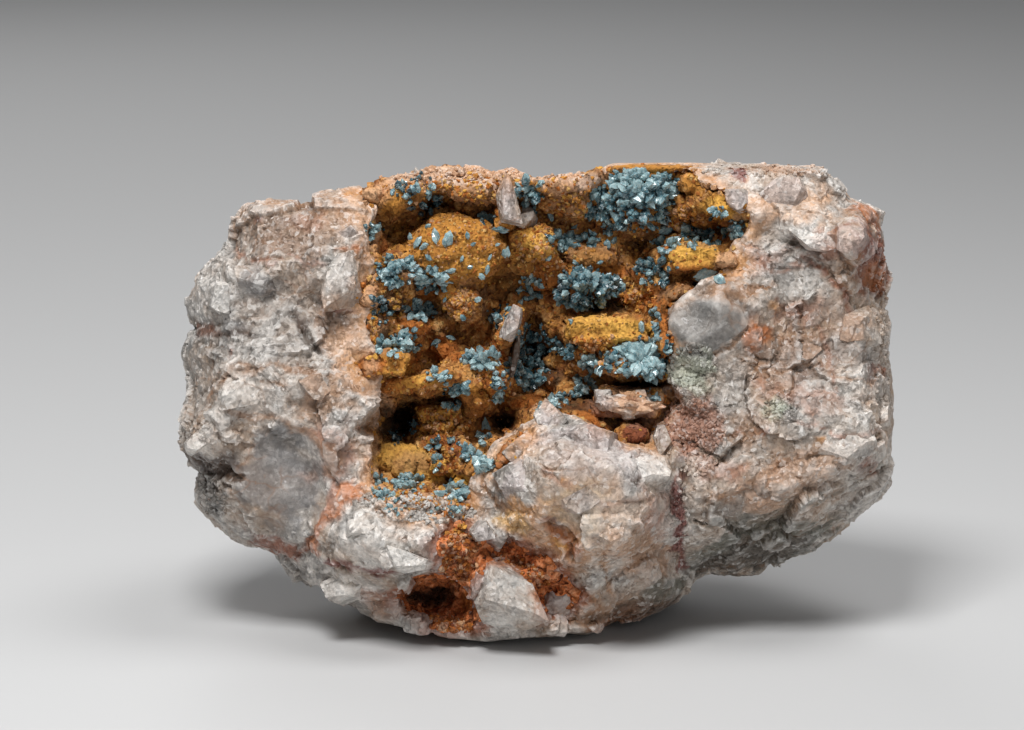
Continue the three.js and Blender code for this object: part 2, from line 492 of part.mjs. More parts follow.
// Runs of fine crust that link each cluster to the nearest one
function linksBetween(clusters) {
  const span = (a, b) => Math.hypot(a.at[0] - b.at[0], a.at[1] - b.at[1]);
  const joined = [clusters[0]];
  const waiting = clusters.slice(1);
  const links = [];
  while (waiting.length > 0) {
    const pairs = waiting.flatMap((to) => joined.map((from) => ({ from, to, length: span(from, to) })));
    const shortest = pairs.reduce((best, pair) => (pair.length < best.length ? pair : best));
    links.push([shortest.from.at, shortest.to.at]);
    joined.push(shortest.to);
    waiting.splice(waiting.indexOf(shortest.to), 1);
  }
  return links;
}

function pointsAlong([[au, av], [bu, bv]], spacing) {
  const steps = Math.ceil(Math.hypot(bu - au, bv - av) / spacing);
  return Array.from({ length: steps + 1 }, (_, i) => [lerp(au, bu, i / steps), lerp(av, bv, i / steps)]);
}

const links = linksBetween(CLUSTERS);

// The two sheets of points, face and back, share the rim
const rimPoints = ring(OUTLINE, 0, SPACING.rim);
const facePoints = [...rimPoints];
addClear(facePoints, ring(OUTLINE, ROWS.face, SPACING.rim), CLEAR.row);
addClear(facePoints, ring(POCKET_EDGE, -ROWS.outsidePocket, SPACING.pocket), CLEAR.row);
addClear(facePoints, ring(POCKET_EDGE, ROWS.insidePocket, SPACING.pocket), CLEAR.row);
for (const form of BARE_QUARTZ) {
  for (const size of [BARE_TOP / 2, 1]) {
    addClear(facePoints, ringAround(form, size, SPACING.edge), CLEAR.form);
  }
}
for (const link of links) {
  addClear(facePoints, pointsAlong(link, SPACING.link), CLEAR.link);
}
const spacingOfFace = (u, v) => {
  if (isInside(POCKET_EDGE, u, v)) {
    return SPACING.pocket;
  }
  return isInside(SEAM_EDGE, u, v) ? SPACING.seam : SPACING.face;
};
addScattered(facePoints, spacingOfFace, TRIES.face);
const backPoints = [...rimPoints];
addClear(backPoints, ring(OUTLINE, ROWS.back, SPACING.rim), CLEAR.backRow);
addScattered(backPoints, () => SPACING.back, TRIES.back);

const faceTriangles = triangulateInside(facePoints, rimPoints.length);
const backTriangles = triangulateInside(backPoints, rimPoints.length);
const ground = facePoints.map(([u, v]) => groundAt(u, v));
rimPoints.forEach(([u, v], i) => {
  ground[i].surface = rimAt(u, v).w;
});

// How steep the surface is around each point: 1 where it is level, more on a wall
const steepness = facePoints.map(() => 1);
for (const corners of faceTriangles) {
  const [a, b, c] = corners.map((i) => new THREE.Vector3(...facePoints[i], ground[i].surface));
  const normal = b.sub(a).cross(c.sub(a)).normalize();
  for (const corner of corners) {
    steepness[corner] = clamp(1 / Math.max(normal.z, 0.01), steepness[corner], STEEPEST);
  }
}

function toManifold(vertices, triangles) {
  return new wasm.Manifold(new wasm.Mesh({
    numProp: 3,
    vertProperties: new Float32Array(vertices.flat()),
    triVerts: new Uint32Array(triangles.flat()),
  }));
}

function geometryToManifold(geometry) {
  geometry.deleteAttribute("normal");
  geometry.deleteAttribute("uv");
  const merged = mergeVertices(geometry, 1e-4);
  const position = merged.getAttribute("position");
  const vertices = [];
  for (let i = 0; i < position.count; i++) {
    vertices.push([position.getX(i), position.getY(i), position.getZ(i)]);
  }
  const triangles = [];
  for (let i = 0; i < merged.index.count; i += 3) {
    const corners = [0, 1, 2].map((j) => merged.index.getX(i + j));
    if (new Set(corners).size === 3) {
      triangles.push(corners);
    }
  }
  return toManifold(vertices, triangles);
}

// Everything below a sheet of heights over the face
function below(heights) {
  const top = facePoints.map(([u, v], i) => [u, v, heights[i]]);
  const bottom = facePoints.map(([u, v]) => [u, v, -DEEP]);
  const lower = facePoints.length;
  const triangles = [
    ...faceTriangles,
    ...faceTriangles.map(([a, b, c]) => [lower + c, lower + b, lower + a]),
  ];
  rimPoints.forEach((_, i) => {
    const next = (i + 1) % rimPoints.length;
    triangles.push([i, next, lower + next], [i, lower + next, lower + i]);
  });
  return toManifold([...top, ...bottom], triangles);
}

function largest(manifold, isWanted = () => true) {
  const bodies = manifold.decompose().filter((body) => isWanted(body.boundingBox()));
  return bodies.reduce((best, body) => (body.volume() > best.volume() ? body : best));
}

// The quartz, down to the sheet under the limonite
const surface = ground.map((g) => g.surface);
const bed = ground.map((g, i) => g.surface - steepness[i] * g.limonite);
const clearOfBed = bed.map((w, i) => w + steepness[i] * GAP);
const clearOfSurface = surface.map((w, i) => w + steepness[i] * GAP);

const innerBack = backPoints.length - rimPoints.length;
const backIndex = (i) => (i < rimPoints.length ? i : i + facePoints.length - rimPoints.length);
const quartz = toManifold(
  [
    ...facePoints.map(([u, v], i) => [u, v, bed[i]]),
    ...backPoints.slice(-innerBack).map(([u, v]) => [u, v, backHeight(u, v) + eitherWay(FACET.back)]),
  ],
  [...faceTriangles, ...backTriangles.map((corners) => corners.map(backIndex).reverse())],
);

// The limonite, in the pocket and in the small cavity
const limonite = below(surface).subtract(below(clearOfBed));
const pocketFoot = Math.min(...POCKET_EDGE.map(([, v]) => v));
const lining = largest(limonite, (box) => box.max[1] > pocketFoot);
const seam = largest(limonite, (box) => box.max[1] < pocketFoot);

// How far inside a cluster's patch of fine crust a place is
function patchDepth({ at, half }, u, v) {
  const du = u - at[0];
  const dv = v - at[1];
  const r = Math.hypot(du / (half[0] + FILM.edge), dv / (half[1] + FILM.edge));
  return (1 - r) * (Math.min(...half) + FILM.edge);
}

const film = facePoints.map(([u, v]) => {
  const patches = CLUSTERS.map((cluster) => patchDepth(cluster, u, v));
  const runs = links.map((link) => FILM.link - nearestOn(link, u, v).distance);
  return clamp(Math.max(...patches, ...runs), -FILM.thick, FILM.thick);
});
const filmTop = clearOfSurface.map((w, i) => w + Math.min(steepness[i], FILM.steepest) * film[i]);

// Height and normal of the film's top over any point of the face
function seatAt(u, v) {
  for (const corners of faceTriangles) {
    if (isInside(corners.map((i) => facePoints[i]), u, v)) {
      const [a, b, c] = corners.map((i) => new THREE.Vector3(...facePoints[i], filmTop[i]));
      const normal = b.clone().sub(a).cross(c.clone().sub(a)).normalize();
      const w = a.z - (normal.x * (u - a.x) + normal.y * (v - a.y)) / normal.z;
      return { point: new THREE.Vector3(u, v, w), normal };
    }
  }
  throw new Error("a crystal stands off the face");
}

// One four-sided crystal with a pyramid at each end, standing on its seat
function crystal(seat, direction, length) {
  const radius = 0.5 * CRYSTAL.width * length;
  const shoulder = 0.5 * CRYSTAL.shoulder * length;
  const profile = [[0, -length / 2], [radius, -shoulder], [radius, shoulder], [0, length / 2]];
  const geometry = new THREE.LatheGeometry(profile.map(([x, y]) => new THREE.Vector2(x, y)), 4);
  geometry.scale(1, 1, CRYSTAL.flatness);
  geometry.rotateY(random() * Math.PI);
  const turn = new THREE.Quaternion().setFromUnitVectors(new THREE.Vector3(0, 1, 0), direction);
  geometry.applyQuaternion(turn);
  geometry.translate(...seat.point.clone().addScaledVector(direction, CRYSTAL.raised * length));
  return geometryToManifold(geometry);
}

// Crystals of a cluster spread like seeds in a sunflower and lean away from its middle
function crystalsOf({ at, half, crystals, length }) {
  const golden = Math.PI * (3 - Math.sqrt(5));
  return Array.from({ length: crystals }, (_, i) => {
    const r = Math.sqrt((i + 0.5) / crystals);
    const du = r * Math.cos(i * golden) * half[0];
    const dv = r * Math.sin(i * golden) * half[1];
    const seat = seatAt(at[0] + du, at[1] + dv);
    const splay = new THREE.Vector3(du / half[0], dv / half[1], 0).multiplyScalar(CLUSTER.splay);
    const loose = new THREE.Vector3(eitherWay(CLUSTER.loose), eitherWay(CLUSTER.loose), CLUSTER.forward);
    const direction = splay.add(loose).addScaledVector(seat.normal, CLUSTER.outward).normalize();
    return crystal(seat, direction, length * (CLUSTER.smallest + CLUSTER.spread * random()));
  });
}

const grown = wasm.Manifold.union([below(filmTop), ...CLUSTERS.flatMap(crystalsOf)]);
const crust = largest(grown.subtract(below(clearOfSurface)));

// Turns the face frame upright: v leans back, w comes forward
const upright = new THREE.Matrix4().makeRotationX(Math.PI / 2 - LEAN);
const stand = (manifold) => manifold.transform(upright.elements);

// What lies below the foot's broken facet
const floorBox = new THREE.BoxGeometry(3 * DEEP, 3 * DEEP, DEEP);
floorBox.translate(0, 0, FOOT_CUT - DEEP / 2);
const standing = stand(quartz).subtract(geometryToManifold(floorBox));
const extent = standing.boundingBox();
const origin = [0, 1].map((axis) => (extent.min[axis] + extent.max[axis]) / 2).concat(extent.min[2]);

function toMesh(name, manifold, material) {
  const { vertProperties, triVerts } = manifold.getMesh();
  const geometry = new THREE.BufferGeometry();
  geometry.setAttribute("position", new THREE.BufferAttribute(vertProperties, 3));
  geometry.setIndex(new THREE.BufferAttribute(triVerts, 1));
  const mesh = new THREE.Mesh(geometry, new THREE.MeshStandardMaterial({ metalness: 0, ...material }));
  mesh.name = name;
  mesh.position.set(-origin[0], -origin[1], -origin[2]);
  return mesh;
}

const specimen = new THREE.Group();
specimen.add(
  toMesh("quartz_matrix", largest(standing), { color: 0xb9aea6, roughness: 0.55 }),
  toMesh("limonite_lining", stand(lining), { color: 0xb8741f, roughness: 0.9 }),
  toMesh("pharmacosiderite_crystals", stand(crust), { color: 0x5f8e9b, roughness: 0.25 }),
  toMesh("limonite_seam", stand(seam), { color: 0x9a4a1c, roughness: 0.9 }),
);
export default specimen;
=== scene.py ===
"""The looks of a pharmacosiderite specimen.

Blue crystals sit in the ochre-lined pocket of a block of milky quartz.
Places on the rock are given on its face, in millimetres: u runs right, v up and w out of the face.
"""

import logging
import math
from dataclasses import dataclass, field
from enum import Enum

import bmesh
import bpy
import numpy as np
from mathutils import Matrix, Vector
from mathutils.bvhtree import BVHTree


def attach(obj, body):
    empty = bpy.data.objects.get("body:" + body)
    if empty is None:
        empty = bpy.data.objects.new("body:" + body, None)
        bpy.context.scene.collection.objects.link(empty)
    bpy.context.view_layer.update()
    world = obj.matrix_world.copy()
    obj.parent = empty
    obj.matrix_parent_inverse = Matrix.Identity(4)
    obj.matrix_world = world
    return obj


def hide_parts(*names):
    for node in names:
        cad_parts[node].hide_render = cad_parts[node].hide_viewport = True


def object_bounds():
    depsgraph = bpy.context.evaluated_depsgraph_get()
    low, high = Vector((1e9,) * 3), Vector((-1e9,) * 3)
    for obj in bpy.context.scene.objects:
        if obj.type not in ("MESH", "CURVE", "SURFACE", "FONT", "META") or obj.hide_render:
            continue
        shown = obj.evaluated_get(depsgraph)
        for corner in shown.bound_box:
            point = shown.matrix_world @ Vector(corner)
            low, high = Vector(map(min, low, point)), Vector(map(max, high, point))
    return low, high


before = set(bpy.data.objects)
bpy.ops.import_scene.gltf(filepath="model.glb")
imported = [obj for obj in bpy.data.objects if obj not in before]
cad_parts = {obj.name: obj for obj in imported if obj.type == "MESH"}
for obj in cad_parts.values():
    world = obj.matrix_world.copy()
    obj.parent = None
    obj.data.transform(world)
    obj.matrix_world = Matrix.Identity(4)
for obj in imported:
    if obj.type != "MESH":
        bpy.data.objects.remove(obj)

log = logging.getLogger("specimen")

MM = 0.001
BODY = "root"
CAD_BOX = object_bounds()
Pair = tuple[float, float]
Colour = tuple[float, float, float]
Coat = tuple[np.ndarray, np.ndarray]
Pick = tuple[int, Matrix, float]
Socket = bpy.types.NodeSocket
Value = Socket | float | Colour

LEAN_DEG = 12.0

# Heights and depths on the face, and the pocket's left edge, in millimetres.
ROCK_TOP = 60.8
FOOT_CUT = 1.4
POCKET_LEFT = -20.8
OVERHEAD = 40.0
BACK = -24.0
FRONT = -17.0

# The most triangles of a large piece, and the grains along the pocket's rim.
MOST_FACES = 192000
RIM_GRAINS = 2200


class Tint(Enum):
    """The named colours of the rock's stains, in linear light."""

    WHITE = (0.70, 0.69, 0.67)
    SMOKE = (0.145, 0.145, 0.142)
    GREY = (0.21, 0.21, 0.215)
    BEIGE = (0.46, 0.31, 0.22)
    TAN = (0.33, 0.18, 0.09)
    PINK = (0.37, 0.19, 0.13)
    PEACH = (0.60, 0.36, 0.21)
    CREAM = (0.66, 0.42, 0.15)
    YELLOW = (0.70, 0.385, 0.075)
    OCHRE = (0.50, 0.225, 0.04)
    ORANGE = (0.42, 0.13, 0.022)
    RUST = (0.24, 0.07, 0.025)
    RED = (0.16, 0.03, 0.02)
    UMBER = (0.055, 0.028, 0.015)
    BLACK = (0.012, 0.008, 0.006)
    LILAC = (0.47, 0.43, 0.43)
    GREEN = (0.45, 0.49, 0.41)
    MOSS = (0.10, 0.105, 0.085)


class Form(Enum):
    """What a rock is like."""

    ROUND = "round"
    ROUGH = "rough"
    SLAB = "slab"
    CHIP = "chip"


(
    WHITE, SMOKE, GREY, BEIGE, TAN, PINK, PEACH, CREAM, YELLOW,
    OCHRE, ORANGE, RUST, RED, UMBER, BLACK, LILAC, GREEN, MOSS,
) = Tint
ROUND, ROUGH, SLAB, CHIP = Form


@dataclass(frozen=True)
class FaceFrame:
    """Turns places on the rock's face into places in the world, and back.

    Attributes:
        lean: how far the face leans back, in radians.
        shift: what is added to turned world places, in millimetres.
    """

    lean: float
    shift: np.ndarray

    @classmethod
    def of_rock(cls, rock: bpy.types.Object, lean_deg: float, top: float, foot_cut: float) -> "FaceFrame":
        """Finds the frame from the rock's own extent.

        Args:
            rock: the quartz as it stands in the world.
            lean_deg: how far the face leans back, in degrees.
            top: height v of the rock's highest edge on its face, in millimetres.
            foot_cut: height at which the foot is broken off, in millimetres.

        Returns:
            The face's frame.
        """
        lean = math.radians(lean_deg)
        turned = cls(lean, np.zeros(3)).to_face(read_points(rock.data))
        shift_v = top - turned[:, 1].max()
        shift_w = (foot_cut - shift_v * math.cos(lean)) / math.sin(lean)
        return cls(lean, np.array([0.0, shift_v, shift_w]))

    @property
    def axes(self) -> np.ndarray:
        """The directions of u, v and w in the world, as rows."""
        s = math.sin(self.lean)
        c = math.cos(self.lean)
        return np.array([[1.0, 0.0, 0.0], [0.0, s, c], [0.0, -c, s]])

    def to_face(self, points: np.ndarray) -> np.ndarray:
        """World metres to face millimetres."""
        return points @ self.axes.T / MM + self.shift

    def to_world(self, places: np.ndarray) -> np.ndarray:
        """Face millimetres to world metres."""
        return (places - self.shift) @ self.axes * MM


@dataclass(frozen=True)
class Patch:
    """A round or oval place on the face.

    Attributes:
        name: what is there.
        at: its middle, u and v.
        half: its half size along and across.
        turn: how far it is turned, anticlockwise, in degrees.
    """

    name: str
    at: Pair
    half: Pair
    turn: float

    def share(self, places: np.ndarray, ragged: np.ndarray | float = 0.0, top: float = 0.3) -> np.ndarray:
        """How much of the patch each place has.

        Args:
            places: face places.
            ragged: what is added to the distance from the middle, to break up the edge.
            top: the share of its width that counts fully.

        Returns:
            1 in the middle, falling to 0 at the edge.
        """
        turn = math.radians(self.turn)
        du = places[:, 0] - self.at[0]
        dv = places[:, 1] - self.at[1]
        along = (du * math.cos(turn) + dv * math.sin(turn)) / self.half[0]
        across = (dv * math.cos(turn) - du * math.sin(turn)) / self.half[1]
        return 1.0 - ease(np.hypot(along, across) + ragged, top, 1.0)


@dataclass(frozen=True)
class Stain(Patch):
    """A patch of colour.

    Attributes:
        tint: the colour.
        strength: how strong it is.
        top: the share of its width that has it fully.
    """

    tint: Tint
    strength: float
    top: float = 0.4


@dataclass(frozen=True)
class Relief(Patch):
    """A lump or hollow that is finer than the main forms.

    Attributes:
        rise: how far the surface moves out of the face, in millimetres.
        top: the share of its width that moves fully.
    """

    rise: float
    top: float = 0.3


@dataclass(frozen=True)
class Piece(Patch):
    """A rock or shelf in the pocket.

    Attributes:
        thick: half its depth out of the face, in millimetres.
        out: how far its middle stands above the ground, in millimetres.
        tint: its colour.
        form: what it is like.
    """

    thick: float
    out: float
    tint: Tint
    form: Form

    def stain(self, reach: float, strength: float, top: float = 0.4) -> Stain:
        """The patch of its own colour that lies over it."""
        half = (reach * self.half[0], reach * self.half[1])
        return Stain(self.name, self.at, half, self.turn, self.tint, strength, top)


@dataclass(frozen=True)
class Sprinkle(Patch):
    """A place with loose grains.

    Attributes:
        count: how many there are.
        size: their usual radius, in millimetres.
    """

    count: int
    size: float


@dataclass(frozen=True)
class Seam:
    """A thin crack or vein along a line of places.

    Attributes:
        name: what it is.
        line: its places, u and v.
        width: its half width, in millimetres.
        depth: how deep it is, in millimetres.
        tint: its colour.
        strength: how strong its colour is.
    """

    name: str
    line: tuple[Pair, ...]
    width: float
    depth: float
    tint: Tint
    strength: float


@dataclass(frozen=True)
class Cluster:
    """A cluster of crystals.

    Attributes:
        name: where it is.
        at: its middle, u and v.
        half: its half width and half height, in millimetres.
        count: how many crystals it has.
        length: their usual length, in millimetres.
        tone: 0 is deep teal and 1 pale blue.
        fan: how far the outer ones lean outwards.
    """

    name: str
    at: Pair
    half: Pair
    count: int
    length: float
    tone: float
    fan: float


@dataclass(frozen=True)
class Single:
    """One crystal that lies on its own.

    Attributes:
        at: its middle, u and v.
        length: its length, in millimetres.
        width: its width, in millimetres.
        turn: its direction on the face, anticlockwise from the right, in degrees.
        tone: 0 is deep teal and 1 pale blue.
    """

    at: Pair
    length: float
    width: float
    turn: float
    tone: float


LINING_STAINS = (
    Stain("ochre corner", (22.7, 55.0), (2.0, 1.5), -10, YELLOW, 0.8),
    Stain("cream lump", (1.1, 50.5), (2.3, 1.9), 0, CREAM, 0.8),
    Stain("dome", (-10.8, 50.7), (6.6, 4.3), 0, OCHRE, 0.5),
    Stain("dome's bright side", (-8.5, 48.1), (3.0, 1.8), 0, YELLOW, 0.35),
    Stain("upper right shelf", (19.2, 48.6), (3.6, 1.7), 0, YELLOW, 0.85),
    Stain("yellow shelf", (8.6, 40.0), (6.3, 2.0), 3, YELLOW, 0.8),
    Stain("brown slope", (7.4, 48.1), (4.6, 2.0), 0, OCHRE, 0.5),
    Stain("orange wedge", (-18.3, 35.4), (2.5, 2.0), 0, ORANGE, 0.6),
    Stain("ochre bar", (-14.9, 32.9), (5.8, 1.0), 9, YELLOW, 0.6),
    Stain("small shelf", (-12.3, 28.3), (3.3, 1.3), 6, OCHRE, 0.7),
    Stain("brown floor", (-16.8, 22.4), (4.1, 2.2), 0, TAN, 0.65),
    Stain("yellow patch", (-9.5, 20.4), (2.0, 1.1), 0, YELLOW, 0.7),
    Stain("spongy nodule", (-9.4, 42.9), (2.5, 2.2), 0, TAN, 0.5),
    Stain("peach rubble", (-14.9, 17.7), (7.4, 2.0), -6, PEACH, 0.95),
    Stain("beige crust at the top", (-8.5, 58.2), (11.4, 1.8), 0, PEACH, 0.85),
    Stain("brown wall at the top left", (-18.4, 55.4), (2.8, 2.0), 30, OCHRE, 0.4),
    # Painted shade: from the shadowed roof to the hollow in the middle, all but the brown lump, these black
    # and umber stains darken the pocket's roof, caves, slot and hollows where shade falls.
    Stain("shadowed roof", (-14.2, 55.6), (2.5, 2.0), 20, UMBER, 0.6),
    Stain("hollow under the radiating cluster", (8.5, 42.7), (4.3, 1.4), 0, BLACK, 0.9),
    Stain("brown lump", (1.7, 33.4), (1.9, 1.7), 0, UMBER, 0.5),
    Stain("slot", (12.7, 32.6), (4.6, 0.8), 0, BLACK, 0.95),
    Stain("cave at the lower left", (-18.5, 27.6), (3.7, 3.0), 0, BLACK, 0.92),
    Stain("cave in the middle", (-4.3, 27.6), (1.9, 2.0), 0, BLACK, 0.9),
    Stain("hollow beside the pillar", (-0.3, 36.7), (2.8, 4.3), 0, UMBER, 0.75),
    Stain("hollow below it", (4.2, 30.4), (3.6, 1.9), 0, UMBER, 0.85),
    Stain("hollow under the blue bank", (13.1, 50.7), (2.8, 2.3), 0, UMBER, 0.6),
    Stain("hollow below the lump", (-2.2, 47.4), (2.3, 1.8), 0, UMBER, 0.5),
    Stain("hollow at the left bank", (-19.7, 39.5), (1.5, 3.3), 0, UMBER, 0.55),
    Stain("hollow under the boxwork", (19.4, 53.2), (1.8, 2.0), 0, UMBER, 0.5),
    Stain("hollow under the nodule", (-11.0, 38.9), (3.8, 1.1), -10, UMBER, 0.55),
    Stain("hollow in the middle", (-4.1, 45.2), (1.5, 2.5), 0, UMBER, 0.5),
    Stain("left rim", (-20.7, 39.5), (1.1, 21.6), 0, PEACH, 0.7),
    Stain("pink body of the ledge", (11.6, 29.3), (4.8, 2.2), 0, PINK, 0.8),
    Stain("red below the small shelf", (-12.6, 25.5), (2.8, 1.5), 0, RUST, 0.5),
    Stain("red under the bar", (-8.5, 30.0), (2.5, 1.5), -20, RUST, 0.5),
    Stain("red beside the boxwork", (17.1, 53.2), (2.0, 1.8), 0, RUST, 0.5),
    Stain("pale crust at the top", (-8.5, 58.5), (12.2, 1.9), 0, WHITE, 0.35),
    Stain("pale crust before the step", (6.1, 58.3), (2.8, 1.5), 0, WHITE, 0.3),
    Stain("crust beside the boulder", (-2.2, 25.5), (3.8, 1.1), 45, PEACH, 0.6),
)

SEAM_STAINS = (
    # Painted shade: black in the cavity's hollow.
    Stain("cavity", (-13.3, 5.7), (4.3, 2.5), -6, BLACK, 0.92),
    Stain("cavity's right wall", (-9.0, 5.2), (1.1, 2.0), 0, ORANGE, 0.8),
    Stain("cavity's crust", (-10.4, 2.4), (3.8, 0.9), -6, ORANGE, 0.8),
    Stain("orange slit", (3.3, 13.7), (2.0, 1.3), 0, OCHRE, 0.8),
)

